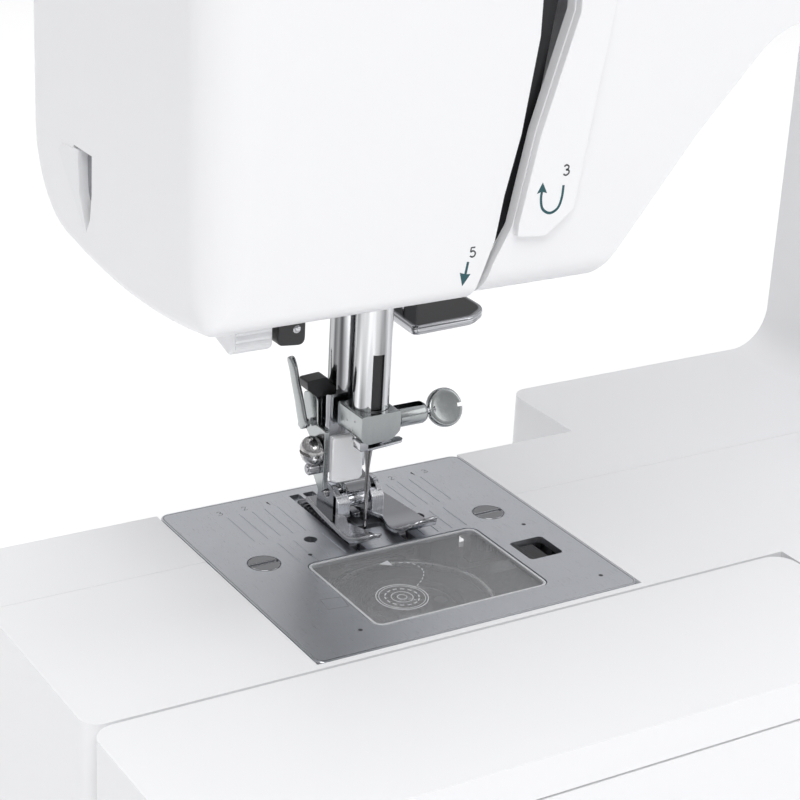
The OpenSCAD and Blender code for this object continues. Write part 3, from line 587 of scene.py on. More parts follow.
def head_solid(left, front, back, low, top, inset, right):
    """The head as a solid, smaller by inset: its profile from the back over the bottom to the front, rounded
    to the left and flat at right."""
    b, f, lw, lf, tp = back - inset, front + inset, low + inset, left + inset, top + inset * 2
    rear, chin = REAR_RADIUS - inset, CHIN_RADIUS - inset
    outline = [(b, tp, 1, 0)]  # y, z and the way out of the surface there
    for a in arc(18):
        y, z = b - rear + rear * math.cos(a), lw + rear - rear * math.sin(a)
        outline.append((y, z, math.cos(a), -math.sin(a)))
    for k in range(1, 12):
        t = k / 12
        sag = 2.6 * math.sin(math.pi * t) ** 0.8
        outline.append((b - rear + (f + chin - b + rear) * t, lw - sag, 0.002, -1))
    for a in arc(8):
        y, z = f + chin - chin * math.sin(a), lw + chin - chin * math.cos(a)
        outline.append((y, z, -math.sin(a), -math.cos(a)))
    # the left edge's radius: small round the chin, growing up the front
    radius = [BACK_EDGE * ny * ny + CHIN_RADIUS * nz * nz - inset if ny > 0.001 else chin * 0.96
        for _, _, ny, nz in outline]
    for up, r in ((5, 4.6), (8, 6.6), (12, 8.2), (17, SIDE_EDGE)):
        outline.append((f, low + up, -1, 0))
        radius.append(r - inset)
    outline.append((f, tp, -1, 0))
    radius.append(SIDE_EDGE - inset)
    rings = [[(right, y, z) for y, z, _, _ in outline]]
    for a in arc(12):
        side, back_off = 1 - math.sin(a), 1 - math.cos(a)
        rings.append([(lf + r * side, y - ny * r * back_off, z - nz * r * back_off)
            for (y, z, ny, nz), r in zip(outline, radius)])
    return loft(rings)


def head_cover():
    """Shell of the needle end: soft corners of a different radius at the front, the side and the back."""
    lo, hi = local("head_cover")
    left, front, back, low, top = lo.x, lo.y, hi.y, lo.z, hi.z
    shell = (left, front, back, low, top)
    hollow = cutter(head_solid(*shell, WALL, 40))
    # everything right of the thread slot is cut away
    slot = [(-0.8, low - 5), (0.0, low), (2.6, low + 6.5), (4.7, low + 12), (6.2, low + 21), (9.2, low + 33),
        (12, low + 52)]
    seam = cutter(prism(slot + [(12, top + 8), (60, top + 8), (60, low - 5)], front - 1, back + 1, "y"))
    mouth = cutter(box(left + 8.5, 30, front + 7, back - 16, low - 5, low + 9))
    # the thread cutter's drop-shaped pocket in the left face
    drop = [(14.8, low + 22), (15.0, low + 14), (16.0, low + 8.4), (18.0, low + 5.0), (20.6, low + 8.4),
        (22.6, low + 13), (23.8, low + 18), (24.0, low + 22)]
    pocket = cutter(prism(drop, left - 2, left + 3.2, "x"))
    solid("head_shell", head_solid(*shell, 0, 16), "white", "machine", replaces=("head_cover",),
        cuts=(pocket, hollow, seam, mouth))


def thread_cutter():
    lo = local("head_cover")[0]
    x, z = lo.x, lo.z
    hook = [(21.6, z + 21.6), (30.2, z + 20.8), (31.6, z + 19), (25.2, z + 12.4), (17.2, z + 4.4), (20.9, z + 13)]
    hook = rounded(hook, [0.6, 1.2, 0.8, 6, 0.4, 4])
    solid("thread_cutter_guard", prism(hook, x - 0.2, x + 2.2, "x"), "white_part", "machine", bevel=0.5,
        segments=3, replaces=("thread_cutter",))
    blade = [(16.6, z + 10.6), (21.4, z + 11.4), (21.2, z + 20.6), (17.2, z + 21)]
    solid("thread_cutter_blade", prism(blade, x + 1.9, x + 2.3, "x"), "steel", "machine", bevel=0.1)
    well = [(13.4, z + 5), (31, z + 5), (31, z + 21), (13.4, z + 21)]
    solid("thread_cutter_well", prism(well, x + 2.55, x + 3.0, "x"), "black_plastic", "machine", bevel=0.1)


def levers():
    """The buttonhole lever with its three ridges, and the needle threader's black lever."""
    lo, hi = local("buttonhole_lever")
    x0, x1, y0, top = lo.x, hi.x, lo.y + 0.7, hi.z
    side = rounded([(y0, 59.6), (y0 + 1.2, 58.6), (y0 + 8, 60.4), (y0 + 10.6, 64), (y0 + 10.6, top),
        (y0 + 1, top), (y0, 66)], [1.2, 1.2, 3, 2, 0, 0, 1])
    solid("buttonhole_lever_cap", prism(side, x0, x1, "x"), "white_part", "buttonhole_lever",
        bevel=0.6, segments=3, replaces=("buttonhole_lever",))
    for k, z in enumerate((60.6, 62.0, 63.4)):
        ridge = [(y0 - 0.55, z), (y0 - 0.1, z + 0.62), (y0 + 1, z + 0.8), (y0 + 1, z - 0.8),
            (y0 - 0.1, z - 0.62)]
        solid(f"buttonhole_lever_ridge_{k + 1}", prism(rounded(ridge, 0.2, 3), x0 + 0.9, x1 - 0.5, "x"),
            "white_part", "buttonhole_lever", bevel=0.12)
    lo, hi = local("threader_lever")
    x0, x1, y0, y1, top = lo.x, hi.x, lo.y + 0.1, hi.y, hi.z
    body = rounded([(x0, 59.4), (x1, 58.8), (x1, top), (x0, top)], [1.3, 1.6, 0, 0], 6)
    solid("threader_lever_cap", prism(body, y0 + 0.5, y1, "y"), "black_plastic", "threader_lever",
        bevel=0.4, segments=3, replaces=("threader_lever",))
    solid("threader_lever_pin", lathe([(0, 0), (0, 0.55), (0.12, 0.8), (0.9, 0.8), (0.9, 0)],
        (x1 - 2.0, y0 + 0.35, 62.4), "y", 20), "chrome", "threader_lever", sharp=50)


LIFTER_Z = 38.9
LIFTER_PIVOT = (21.3, 26, 92)


def lifter():
    """The presser lifter's finger plate: a folded-over rim under a mirror-flat top."""
    lo, hi = local("presser_lifter")
    x0, x1, y0, y1, z = lo.x, hi.x + 1.6, lo.y, hi.y - 6, LIFTER_Z
    plan = rounded([(x0, y0), (x1 - 6, y0 + 0.6), (x1, y0 + 5), (x1, y1), (x1 - 5, y1), (x0 + 1, y1)],
        [1.6, 6, 6, 1.6, 1, 1], 8)
    cx, cy = (x0 + x1) / 2, (y0 + y1) / 2
    # the folded rim: growth of the plan, and height
    rim = [(-1.6, 0), (-0.5, 0), (-0.1, 0.3), (0, 0.9), (-0.05, 1.7), (-0.35, 2.1), (-0.9, 2.2), (-1.6, 2.1),
        (-3.5, 2.05)]
    rings = []
    for grow, up in rim:
        scaled = [(d, 1 + grow / d.length) for d in (Vector((px - cx, py - cy)) for px, py in plan)]
        rings.append([(cx + d.x * s, cy + d.y * s, z + up) for d, s in scaled])
    solid("presser_lifter_plate", loft(rings), "chrome", "presser_lifter", sharp=70,
        replaces=("presser_lifter",))
    # chrome top with its dark reflection painted into the colour
    inlay = [(cx + (px - cx) * 0.9, cy + (py - cy) * 0.88) for px, py in plan]
    solid("presser_lifter_top", prism(inlay, z + 1.9, z + 2.2, "z"), "dark_mirror", "presser_lifter",
        bevel=0.1)
    stem = rounded([(20.2, z + 0.6), (25.9, z + 0.6), (25.9, 86), (20.2, 86)], [0, 2, 0, 0], 5)
    solid("presser_lifter_stem", prism(stem, 20, 24, "x"), "chrome", "presser_lifter", bevel=0.5)
    hub = [(-2.7, 3.1), (-2.7, 5.6), (-2.3, 6), (2.3, 6), (2.7, 5.6), (2.7, 3.1), (-2.7, 3.1)]
    solid("presser_lifter_hub", lathe(hub, LIFTER_PIVOT, "x", 36), "casting", "presser_lifter",
        sharp=50)


def slot_lining():
    """The dark channel behind the lower part of the thread slot."""
    shape = [(-0.5, 70), (4, 70), (10.5, 82), (14.5, 100), (18, 124), (8, 124), (4.5, 98)]
    solid("thread_slot_lining", prism(shape, -32.6, -32.0, "y"), "black_plastic", "machine")


# ---- Needle bar and clamp ------------------------------------------------------------------------

NEEDLE_BAR_RADIUS = 4.05
CLAMP_SCREW_Z = 25.6
PADDLE_X, PADDLE_TILT = 19.2, math.radians(62)


def needle_bar():
    r, top = NEEDLE_BAR_RADIUS, local("needle_bar")[1].z
    rod = [(22.2, 0), (22.2, r - 0.5), (22.7, r), (top - 0.6, r), (top, r - 0.6), (top, 0)]
    groove = cutter(box(-2.0, 0.5, -6, -2.7, 29.6, 42.6))
    solid("needle_bar_rod", lathe(rod, (0, 0, 0), "z", 56), "bar_reflection_paint", "needle_bar",
        replaces=("needle_bar",), cuts=(groove,), sharp=40)
    lining = rounded([(-1.95, 29.7), (0.45, 29.7), (0.45, 42.55), (-1.95, 42.55)], [0, 0, 0.4, 0.4])
    solid("needle_bar_groove", prism(lining, -3.5, -2.6, "y"), "black_plastic", "needle_bar", bevel=0.1)
    stud = [(4, 0), (4, 2.5), (7.8, 2.5), (8.2, 2.1), (8.2, 0)]
    solid("needle_bar_stud", lathe(stud, (0, 0, 104.5), "x", 28), "steel", "needle_bar",
        sharp=50)
    collar = rounded([(-6, -6), (4.2, -6), (4.2, 4.5), (-6, 4.5)], 1.4)
    solid("needle_bar_collar", prism(collar, 99, 110, "z"), "steel", "needle_bar", bevel=0.4,
        cuts=(bore_for((0, 0, 0), r, 95, 115),))


def needle_clamp():
    r, z = NEEDLE_BAR_RADIUS + 0.15, CLAMP_SCREW_Z
    bore = cutter(lathe([(22.0, 0), (22.0, r), (35, r), (35, 0)], (0, 0, 0), "z", 48))
    body = rounded([(-5.2, 23.9), (-3.4, 22.7), (2.6, 23.1), (4.6, 24.8), (4.6, 29.4), (-5.2, 29.4)],
        [1.2, 1.6, 2.2, 1.4, 0.5, 0.5], 6)
    solid("needle_clamp_block", prism(body, -5.4, 4.9, "y"), "satin", "needle_bar", bevel=0.42, segments=3,
        replaces=("needle_clamp",), cuts=(bore,))
    # small studs on the clamp's left side
    stud = [(-5.27, 0), (-5.24, 0.22), (-5.18, 0.3), (-5.0, 0.3), (-5.0, 0)]
    for k, (y_stud, z_stud) in enumerate(((-2.4, 27.4), (0.9, 26.6), (-1.6, 25.0))):
        solid(f"needle_clamp_dimple_{k + 1}", lathe(stud, (0, y_stud, z_stud), "x", 12), "steel",
            "needle_bar")
    # thread guide: a plate that turns up into a lip on the left
    guide = [(-3.6, -5.6), (5.6, -4.6), (6.6, -3.4), (6.4, -2.2), (3.2, -1.6), (3.2, 1.4), (-3.6, 1.4)]
    guide = rounded(guide, [0.8, 1, 0.6, 0.6, 0.8, 0.6, 0.4], 4)
    hole = cutter(lathe([(19, 0), (19, 1.25), (24, 1.25), (24, 0)], (0, 0, 0), "z", 24))
    slit = cutter(box(1.2, 3.6, -3.9, -3.2, 19, 24))
    solid("needle_clamp_guide", prism(guide, 21.3, 21.9, "z"), "chrome", "needle_bar", bevel=0.16,
        cuts=(hole, slit))
    lip = rounded([(-5.3, 21.3), (-3.2, 21.3), (-3.2, 23.2), (-5.3, 23.6)], 0.5)
    solid("needle_clamp_guide_lip", prism(lip, -5.3, -2.2, "y"), "chrome", "needle_bar", bevel=0.2)
    # barrel that the thumb screw runs in, with a flat on top
    barrel = [(4.2, 1.6), (4.2, 2.35), (6.6, 2.35), (6.75, 2.5), (12.9, 2.5), (13.6, 2.2), (13.9, 1.8),
        (13.9, 1.55), (4.2, 1.6)]
    flat = cutter(box(5, 13, -5, 5, z + 2.15, z + 5))
    solid("needle_clamp_barrel", lathe(barrel, (0, 0, z), "x", 44), "satin", "needle_bar",
        sharp=35, cuts=(flat,))


def clamp_screw():
    """Thumb screw: a coin on edge with a short slot in its rim."""
    z = CLAMP_SCREW_Z
    stem = [(4.7, 0), (4.7, 1.45), (13.6, 1.45), (14.2, 1.3), (14.5, 0.9), (15.3, 0.8), (16.4, 1.1), (16.4, 0)]
    solid("clamp_screw_stem", lathe(stem, (0, 0, z), "x", 36), "chrome", "clamp_screw",
        replaces=("clamp_screw",), sharp=38)
    c, out = Vector((PADDLE_X, 0, z)), Vector((1, 0, 0))
    across = Vector((0, math.cos(PADDLE_TILT), math.sin(PADDLE_TILT)))
    face = Vector((0, -math.sin(PADDLE_TILT), math.cos(PADDLE_TILT)))
    # the coin's section: height off its middle plane, and radius
    coin = [(-0.88, 0.6), (-0.88, 3.1), (-1.0, 3.7), (-0.9, 4.1), (-0.6, 4.36), (-0.3, 4.4), (0.3, 4.4),
        (0.6, 4.36), (0.9, 4.1), (1.0, 3.7), (0.88, 3.1), (0.88, 0.6)]
    turn = [2 * math.pi * k / 64 for k in range(64)]
    rings = [[tuple(c + face * h + (out * math.cos(q) + across * math.sin(q)) * r) for q in turn]
        for h, r in coin]
    corners = [tuple(c + out * a + across * b + face * d)
        for d in (-2, 2) for a, b in ((3.0, -0.42), (6, -0.42), (6, 0.42), (3.0, 0.42))]
    sides = [(0, 3, 2, 1), (4, 5, 6, 7), (0, 1, 5, 4), (1, 2, 6, 5), (2, 3, 7, 6), (3, 0, 4, 7)]
    notch = cutter((corners, sides))
    solid("clamp_screw_paddle", loft(rings), "satin", "clamp_screw", sharp=45, cuts=(notch,))


def needle():
    shank = [(27, 0), (27, 1.0), (19.6, 1.0), (19.1, 0.98), (14.5, 0.46), (2.6, 0.43), (-1, 0.42),
        (-2.6, 0.22), (-4, 0.05), (-4, 0)]
    eye = cutter(prism(circle((0, 1.9), 0.26, 12), -2, 2, "y"))
    scarf = cutter(box(-1, 1, 0.2, 2, 2.4, 5.2))
    solid("needle_blade", lathe(shank, (0, 0, 0), "z", 28), "needle_steel", "needle_bar",
        replaces=("needle",), cuts=(eye, scarf), sharp=40)


# ---- Presser bar, holder and foot -----------------------------------------------------------------

PRESSER_AXIS = (-0.6, 10.0, 0)
PRESSER_RADIUS = 4
HOLDER_Y = 8.4  # of the dome screw and the pin below it
FINGER_X, FINGER_HALF_DEPTH = -9.9, 0.75
FOOT_PIN = (8, 6.2)  # y, z of the cross pin that the holder clips on


def presser_bar():
    top, r = local("presser_bar")[1].z, PRESSER_RADIUS
    rod = [(15, 0), (15, r - 0.4), (15.4, r), (top - 0.5, r), (top, r - 0.5), (top, 0)]
    solid("presser_bar_rod", lathe(rod, PRESSER_AXIS, "z", 56), "bar_reflection_paint", "presser_bar",
        replaces=("presser_bar",), sharp=40)
    collar = rounded([(-6, 5.5), (6, 5.5), (6, 14.8), (-6, 14.8)], 1.5)
    solid("presser_bar_collar", prism(collar, 98, 106, "z"), "steel", "presser_bar", bevel=0.4,
        cuts=(bore_for(PRESSER_AXIS, r, 95, 110),))


def foot_holder():
    """The holder on the presser bar that the foot clips to, with its screw."""
    # bracket that wraps the bar, a step in from the bar's own surface
    wrap = rounded([(-7.0, 6.2), (2.9, 6.2), (3.6, 7.2), (3.6, 14.2), (-7.0, 14.2)], [0.8, 0.8, 0.8, 2, 2], 4)
    window = cutter(box(-9, -4.7, 7.2, 13.2, 22.6, 31))
    bar_cut = bore_for(PRESSER_AXIS, PRESSER_RADIUS + 0.02, 14, 40)
    solid("foot_holder_body", prism(wrap, 12, 30.6, "z"), "chrome", "presser_bar", bevel=0.35, segments=3,
        replaces=("foot_holder",), cuts=(bar_cut, window))
    # front plate with its chamfered foot
    plate = rounded([(-6.0, 20.5), (-6.0, 10.2), (-4.6, 9.5), (1.1, 9.4), (1.9, 10.2), (1.9, 20.2)],
        [0.6, 0.6, 0.5, 0.5, 0.6, 0.6], 3)
    # the plate glows faintly: painted light
    solid("foot_holder_plate", prism(plate, 5.1, 6.6, "y"), "ankle_white_glow", "presser_bar", bevel=0.4,
        segments=3)
    # side plate: a flat cheek that runs down and back to the ankle
    cheek = rounded([(5.6, 22.4), (9.1, 22.6), (9.5, 28.9), (13.2, 29.2), (15.8, 28.2), (15.0, 20.4),
        (12.2, 18.4), (12.0, 12.0), (7.2, 6.8), (5.6, 8.2), (5.6, 20)],
        [0.6, 0.8, 1.0, 0.8, 1.2, 1.5, 1, 1, 1, 1, 1], 4)
    solid("foot_holder_cheek", prism(cheek, -7.9, -6.6, "x"), "satin", "presser_bar", bevel=0.25)
    # black spring block that sits in the bracket's mouth
    block = rounded([(-11.4, 33.8), (-6.4, 34.1), (-5.4, 32.4), (-4.3, 31.7), (-4.2, 29.8), (-8.8, 29.7),
        (-11.1, 31.7)], [0.5, 0.7, 0.5, 0.4, 0.3, 0.3, 0.5], 3)
    solid("foot_holder_block", prism(block, 8.0, 11.8, "y"), "black_plastic", "presser_bar", bevel=0.35,
        segments=3)
    # ankle between the foot's ears
    ankle = rounded([(5.2, 9.4), (6.6, 9.6), (12.0, 11.5), (12.2, 7.4), (10.2, 4.8), (8.4, 4.2), (4.6, 5.6),
        (4.2, 7.2)], [0.8, 0.8, 1.5, 1.5, 1, 1, 0.8, 0.8], 4)
    ankle_slot = cutter(box(-3, 6, 2, 8.9, 4.9, 5.6))
    solid("foot_holder_ankle", prism(ankle, -2.6, 3.8, "x"), "chrome", "presser_bar", bevel=0.35, segments=3,
        cuts=(ankle_slot,))
    # dome screw with its slot, and the pin's end below it
    slot_cut = cutter(box(-13.4, -11.0, 5, 15, 16.55, 17.35))
    angles = [math.radians(a) for a in (20, 40, 60, 75, 90)]
    dome = [(-12.0, 0)] + [(-12.0 + 2.6 * (1 - math.cos(a)), 3.3 * math.sin(a)) for a in angles]
    dome += [(-8.9, 3.3), (-8.7, 3.1), (-8.2, 3.1), (-8.2, 1.5), (-4.6, 1.5), (-4.6, 0)]
    solid("holder_screw_body", lathe(dome, (0, HOLDER_Y, 17), "x", 44), "steel_bright", "presser_bar",
        replaces=("holder_screw",), cuts=(slot_cut,), sharp=45)
    pin = [(-10.6, 0), (-10.6, 0.55), (-10.4, 0.6), (-10.5, 1.15), (-10.2, 1.35), (-8, 1.35), (-8, 0)]
    solid("foot_holder_pin", lathe(pin, (0, HOLDER_Y, 12.6), "x", 26), "steel", "presser_bar",
        sharp=50)


def release_lever():
    """The lever that frees the foot: a finger with a soft edge, widening to its pivot."""
    line = [(18.6, 35.6), (17.2, 33.8), (15.7, 30.6), (14.2, 27.6), (13.1, 25.0), (12.2, 23.0), (11.4, 21.2)]
    line = bend(line, 5)
    width = [1.4, 1.6, 1.65, 1.7, 1.8, 1.85, 1.6]
    turn = [2 * math.pi * k / 20 for k in range(20)]
    rings = []
    n = len(line)
    for i, (yy, zz) in enumerate(line):
        a, b = Vector(line[max(i - 1, 0)]), Vector(line[min(i + 1, n - 1)])
        d = (b - a).normalized()
        s = i / (n - 1) * (len(width) - 1)
        w = width[int(s)] + (width[min(int(s) + 1, len(width) - 1)] - width[int(s)]) * (s - int(s))
        # narrow at both ends
        w *= min(1.0, (0.25 + i / 3) ** 0.5) * min(1.0, (0.25 + (n - 1 - i) / 3) ** 0.5)
        ring = []
        for q in turn:
            across = w * math.sin(q)
            ring.append((FINGER_X + FINGER_HALF_DEPTH * math.cos(q), yy - d.y * across, zz + d.x * across))
        rings.append(ring)
    solid("foot_release_finger", loft(rings), "satin", "foot_release_lever",
        replaces=("foot_release_lever",), sharp=70)
    pivot = [(-10.5, 0), (-10.5, 0.7), (-10.3, 0.95), (-8.4, 0.95), (-8.4, 0)]
    solid("foot_release_pivot", lathe(pivot, (0, 12.4, 22), "x", 24), "steel", "foot_release_lever")


# The sole in rows from its heel to its turned-up toes: y, underside, top, left edge, left side of the needle
# slot, right side of the slot, right edge
SOLE = (
    (15.6, 1.1, 2.1, -5.9, -0.6, 0.6, 9.6),
    (14.9, 1.1, 2.1, -6.6, -0.6, 0.6, 10.6),
    (8, 1.1, 2.1, -7.5, -0.6, 0.6, 11.4),
    (0, 1.1, 2.1, -8.2, -4.3, 4.3, 12.1),
    (-5, 1.1, 2.15, -8.6, -2.6, 2.8, 12.4),
    (-8, 1.4, 2.5, -8.7, -2.2, 2.6, 12.4),
    (-10.5, 2.3, 3.4, -8.2, -2.6, 3.1, 12.0),
    (-12.4, 3.6, 4.5, -7.0, -3.4, 4.2, 10.9),
    (-13.2, 4.3, 5.0, -5.6, -4.6, 5.8, 9.2),
)


def toe(outer, inner, rise):
    """Half of the sole, between two columns of its rows; rise lifts its turned-up end further."""
    rings = []
    for row in SOLE:
        y, z0, z1, xo, xi = row[0], row[1], row[2], row[outer], row[inner]
        lift = max(0, z0 - 1.1) * rise
        rings.append([(xi, y, z0 + lift), (xo, y, z0 + lift), (xo, y, z1 + lift), (xi, y, z1 + lift)])
    return loft(rings)


def presser_foot():
    # left toe, right toe and the plate behind the needle slot
    solid("presser_foot_left_toe", toe(3, 4, 0.0), "foot_chrome", "presser_foot", bevel=0.34, segments=3,
        replaces=("presser_foot",))
    solid("presser_foot_right_toe", toe(6, 5, 0.35), "foot_chrome", "presser_foot", bevel=0.34, segments=3)
    bridge = rounded([(-1.0, 15.3), (1.0, 15.3), (1.0, 4.0), (0.6, 3.2), (-0.6, 3.2), (-1.0, 4.0)], 0.3, 2)
    solid("presser_foot_bridge", prism(bridge, 1.12, 2.08, "z"), "foot_chrome", "presser_foot", bevel=0.1)
    # ears that hold the cross pin: a cheek with a bright front flange
    for side, xa, xb, f0, f1 in (("left", -5.5, -4.2, -5.5, -2.4), ("right", 5.0, 6.3, 3.3, 6.3)):
        cheek = rounded([(3.4, 1.9), (3.4, 6.6), (5.6, 8.6), (8.6, 8.8), (11.8, 6.4), (12.6, 1.9)],
            [0.3, 0.9, 1.8, 2.4, 2, 0.3], 4)
        pin_hole = cutter(prism(circle(FOOT_PIN, 1.0, 20), -12, 12, "x"))
        solid(f"presser_foot_{side}_cheek", prism(cheek, xa, xb, "x"), "foot_chrome", "presser_foot",
            bevel=0.25, segments=3, cuts=(pin_hole,))
        front = rounded([(2.6, 1.8), (2.6, 5.6), (3.6, 6.6), (5.0, 7.2), (5.0, 1.8)],
            [0.3, 0.6, 0.6, 0.5, 0.2], 3)
        solid(f"presser_foot_{side}_flange", prism(front, f0, f1, "x"), "bright_steel", "presser_foot",
            bevel=0.3, segments=3)
    pin = [(-6.1, 0), (-6.1, 0.7), (-5.9, 0.95), (7.1, 0.95), (7.3, 0.7), (7.3, 0)]
    solid("presser_foot_pin", lathe(pin, (0, *FOOT_PIN), "x", 24), "steel_bright", "presser_foot",
        sharp=50)
    # rolled edges of the sole: down its left side round the front, and the right toe that turns up
    left_edge = [(-6.6, 14.6, 2.2), (-7.5, 8, 2.25), (-8.2, 0, 2.25), (-8.6, -5, 2.3), (-8.6, -8, 2.6),
        (-8.1, -10.4, 3.4), (-7.0, -12.2, 4.4), (-5.6, -12.9, 4.9), (-3.6, -12.2, 4.3), (-2.4, -10.4, 3.3)]
    right_edge = [(2.7, -8.4, 2.7), (3.2, -10.4, 3.6), (4.6, -12.2, 4.9), (6.6, -13.0, 5.7),
        (9.2, -12.9, 5.9), (11.0, -12.0, 5.4), (12.1, -10.2, 4.3), (12.4, -8, 2.8)]
    for side, edge_line in (("left", left_edge), ("right", right_edge)):
        solid(f"presser_foot_{side}_edge", tube(bend(edge_line, 4), 0.4), "chrome", "presser_foot",
            sharp=60)
    # the holder's ankle between the ears: a slanted face over a rounded nose
    slant = [[(-4.0, y, 9.5), (-2.2, y, 6.3), (3.0, y, 6.3), (1.8, y, 9.5)] for y in (5.2, 6.4)]
    solid("foot_holder_slant", loft(slant), "satin", "presser_bar", bevel=0.15)
    nose = [(-2.2, 0), (-2.2, 1.4), (-2.0, 1.6), (2.9, 1.6), (3.1, 1.4), (3.1, 0)]
    solid("foot_holder_nose", lathe(nose, (0, 5.0, 5.0), "x", 32), "foot_chrome", "presser_bar",
        sharp=50)


# ---- Marks and plate details -----------------------------------------------------------------------

DIGITS = {  # pen strokes in a box one high
    "1": [[(0.12, 0.76), (0.36, 1.0), (0.36, 0.0)]],
    "2": [bend([(0.06, 0.78), (0.3, 1.0), (0.6, 0.78), (0.4, 0.42), (0.04, 0.02)], 5),
        [(0.04, 0.02), (0.64, 0.02)]],
    "3": [bend([(0.06, 0.86), (0.3, 1.0), (0.58, 0.84), (0.54, 0.62), (0.28, 0.53)], 5),
        bend([(0.28, 0.53), (0.6, 0.44), (0.64, 0.18), (0.32, 0.0), (0.02, 0.14)], 5)],
    "5": [[(0.58, 0.97), (0.12, 0.97), (0.07, 0.52)],
        bend([(0.07, 0.52), (0.36, 0.62), (0.62, 0.4), (0.54, 0.1), (0.28, 0.0), (0.02, 0.13)], 5)],
}
INK = 0.03  # how far a printed mark stands above its face, and reaches into it


def glyph(digit, at, size, plane, axis="y", weight=0.16):
    """Strokes of a digit at a size, its lower left corner at a point."""
    parts = []
    for pen in DIGITS[digit]:
        points = [(at[0] + x * size, at[1] + y * size) for x, y in pen]
        parts.append(prism(stroke(points, weight * size), plane, plane + 2 * INK, axis))
    return parts


def arrow(shaft, width, head, face):
    """A printed arrow: its shaft's centre line and its head's outline."""
    return join(prism(stroke(shaft, width), face - INK, face + INK, "y"),
        prism(head, face - INK - 0.001, face + INK, "y"))


def marks():
    """The threading marks: digits and arrows printed on the head."""
    front, face = local("front_panel")[0].y, local("head_cover")[0].y
    solid("mark_3", join(*glyph("3", (18.5, 89.8), 2.1, front - INK)), "print_grey", "machine")
    u_turn = bend([(13.7, 87.2), (13.6, 85.4), (14.2, 83.4), (16.0, 82.4), (17.8, 83.2), (18.6, 85.2),
        (18.8, 87.8)], 6)
    u_head = [(13.75, 88.9), (12.5, 86.7), (13.65, 87.05), (14.95, 86.6)]
    solid("mark_3_arrow", arrow(u_turn, 0.55, u_head, front), "print_teal", "machine")
    solid("mark_5", join(*glyph("5", (-1.0, 74.8), 2.0, face - INK)), "print_grey", "machine")
    down_head = [(-2.35, 69.0), (-3.1, 71.9), (-1.75, 71.4), (-0.55, 71.3)]
    solid("mark_5_arrow", arrow([(-1.3, 73.9), (-1.75, 71.4)], 0.55, down_head, face), "print_teal",
        "machine")


def plate_details():
    """The needle plate's polished edge, its engraved marks and its dimples."""
    lo, hi = local("needle_plate")
    rims = []
    for grow, z in ((0, -0.7), (0, -0.3), (-0.12, -0.06), (-0.42, 0.014), (-0.6, 0.014), (-0.6, -0.7)):
        corners = [(lo.x - grow, lo.y - grow), (hi.x + grow, lo.y - grow), (hi.x + grow, hi.y + grow),
            (lo.x - grow, hi.y + grow)]
        rims.append([(px, py, z) for px, py in rounded(corners, 2.6 + grow, 8)])
    solid("needle_plate_edge", loft(rims + rims[:1], caps=False), "foot_chrome", "machine",
        sharp=60)
    digits = []
    for text, x in (("1", 24.2), ("2", 18.2), ("1", -14.2), ("2", -20.4), ("3", -26.6), ("3", 27.4)):
        digits += glyph(text, (x, 19.0), 1.7, -0.05, "z", 0.1)
    solid("plate_digits", join(*digits), "engraved", "machine")
    frame_line = [(-25.6, -25.6), (-21.0, -26.4), (-21.7, -30.6), (-26.3, -30.0), (-25.6, -25.6)]
    solid("plate_engraved_box", prism(stroke(frame_line, 0.14), -0.05, 0.012, "z"), "engraved", "machine")
    # painted shade: each dimple is a dark disc
    dimple = [(-0.1, 0), (-0.1, 0.42), (0.012, 0.5), (0.014, 0.3), (0.004, 0)]
    for k, (x, y) in enumerate(((-17.5, -6.6), (34.2, -42.2), (-24.6, -40.4), (33.2, -14.2))):
        solid(f"plate_dimple_{k + 1}", lathe(dimple, (x, y, 0), "z", 16), "print_dark", "machine")


DRAWING_AT = (-9.5, -31.8)  # middle of the bobbin in the cover's drawing


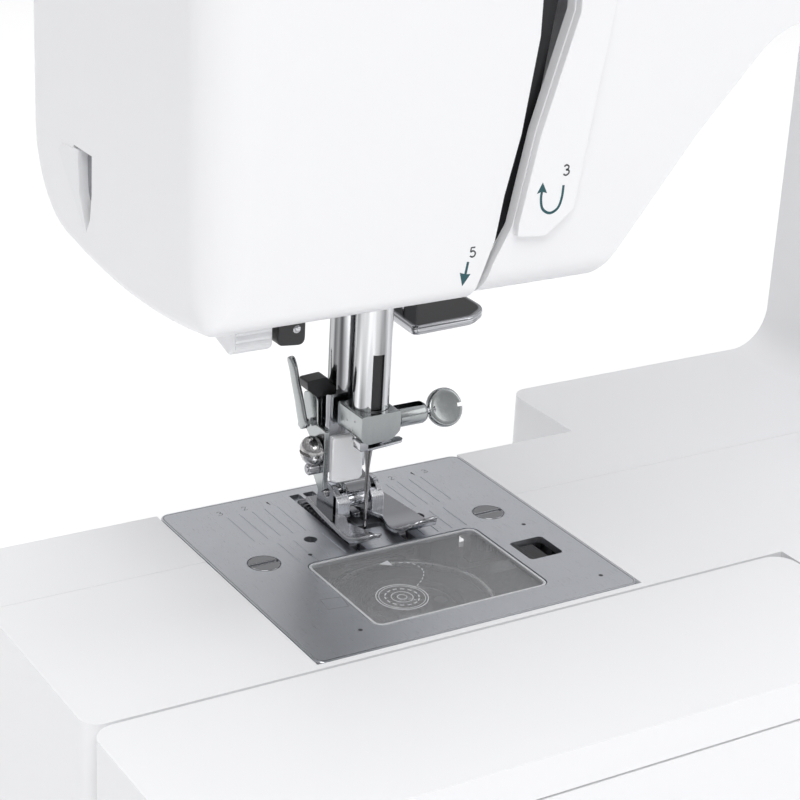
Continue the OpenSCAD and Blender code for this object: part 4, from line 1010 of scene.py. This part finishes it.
def cover_details():
    """The clear cover's edge, its highlight painted as a brighter ring, and its engraved drawing of a bobbin
    with its thread.
    """
    lo, hi = local("hook_cover")
    x0, x1, y0, y1, top = lo.x, hi.x, lo.y, hi.y, hi.z
    outer = rounded([(x0, y0), (x1, y0), (x1, y1), (x0, y1)], 2.4, 7)
    inner = rounded([(x0 + 0.55, y0 + 0.55), (x1 - 0.55, y0 + 0.55), (x1 - 0.55, y1 - 0.55),
        (x0 + 0.55, y1 - 0.55)], 1.9, 7)
    rings = [[(x, y, top - 0.35) for x, y in outer], [(x, y, top + 0.02) for x, y in outer],
             [(x, y, top + 0.02) for x, y in inner], [(x, y, top - 0.35) for x, y in inner]]
    solid("hook_cover_edge_highlight", loft(rings + rings[:1], caps=False), "clear_edge", "hook_cover",
        bevel=0.06)
    cx, cy = DRAWING_AT
    lines = []  # outlines of the drawing's lines
    for r, w in ((5.5, 0.2), (4.9, 0.14), (2.3, 0.16), (1.0, 0.2)):
        ring = circle((cx, cy), r, 48)
        lines.append(stroke(ring + ring[:1], w))
    for k in range(14):
        a = 2 * math.pi * k / 14
        lines.append(stroke(circle((cx, cy), 3.6, 5, a, a + 0.26), 0.3))
    lead = bend([(cx + 4.6, cy + 2.4), (cx + 8, cy + 5), (cx + 10.4, cy + 8.6), (cx + 9.6, cy + 12.6),
        (cx + 5.4, cy + 14.4)], 6)
    lines += [stroke(lead[i:i + 2], 0.2) for i in range(0, len(lead) - 1, 2)]
    lines.append([(cx + 3.2, cy + 14.9), (cx + 5.6, cy + 13.2), (cx + 5.8, cy + 15.7)])  # the arrow's head
    solid("hook_cover_drawing", join(*(prism(line, top - 0.02, top + 0.03, "z") for line in lines)),
        "clear_line", "hook_cover")


def under_cover():
    """Hook, bobbin case spring and bobbin as they show through the cover."""
    lo, hi = local("bobbin")
    cx, cy = (lo.x + hi.x) / 2, (lo.y + hi.y) / 2
    top = local("hook_race")[1].z
    ring = [(top - 6, 17.1), (top - 0.2, 17.1), (top + 0.1, 17.5), (top + 0.1, 18.3), (top - 0.3, 18.6),
        (top - 6, 18.6), (top - 6, 17.1)]
    solid("hook_race_rim", lathe(ring, (cx, cy, 0), "z", 72), "steel_bright", "hook", sharp=40)
    # painted shade: the bobbin's windows are dark discs
    for k in range(9):
        a = 2 * math.pi * k / 9
        spoke = circle((cx + 7.2 * math.cos(a), cy + 7.2 * math.sin(a)), 1.5, 20)
        solid(f"bobbin_window_{k + 1}", prism(spoke, hi.z - 0.3, hi.z + 0.02, "z"), "print_dark", "bobbin")
    case = local("bobbin_case")[1].z
    arm = [(cx - 15.6, cy - 3), (cx - 15.6, cy + 4), (cx - 12.2, cy + 7.6), (cx - 10.8, cy + 6),
        (cx - 13.0, cy + 3), (cx - 13.0, cy - 3)]
    solid("bobbin_case_spring", prism(rounded(arm, 0.5, 3), case - 0.1, case + 0.35, "z"), "steel_bright",
        "machine", bevel=0.12)


camera()
make_materials()
studio()
head_cover()
thread_cutter()
levers()
lifter()
slot_lining()
needle_bar()
needle_clamp()
clamp_screw()
needle()
presser_bar()
foot_holder()
release_lever()
presser_foot()
marks()
plate_details()
cover_details()
under_cover()

SLOT_OF = {s["node"]: s["material_slot"] for s in frame["record"]["subparts"]}
OWN_LOOK = {"hook_cover": "cover_plastic"}  # nodes that don't look like the rest of their slot
HOUSING_EDGE, SMALL_EDGE = 0.8, 0.25
for name in sorted(NODES):
    if not NODES[name].hide_render:
        large = "housing" in name or "cover" in name
        keep(name, M[OWN_LOOK.get(name, SLOT_OF[name])], HOUSING_EDGE if large else SMALL_EDGE)
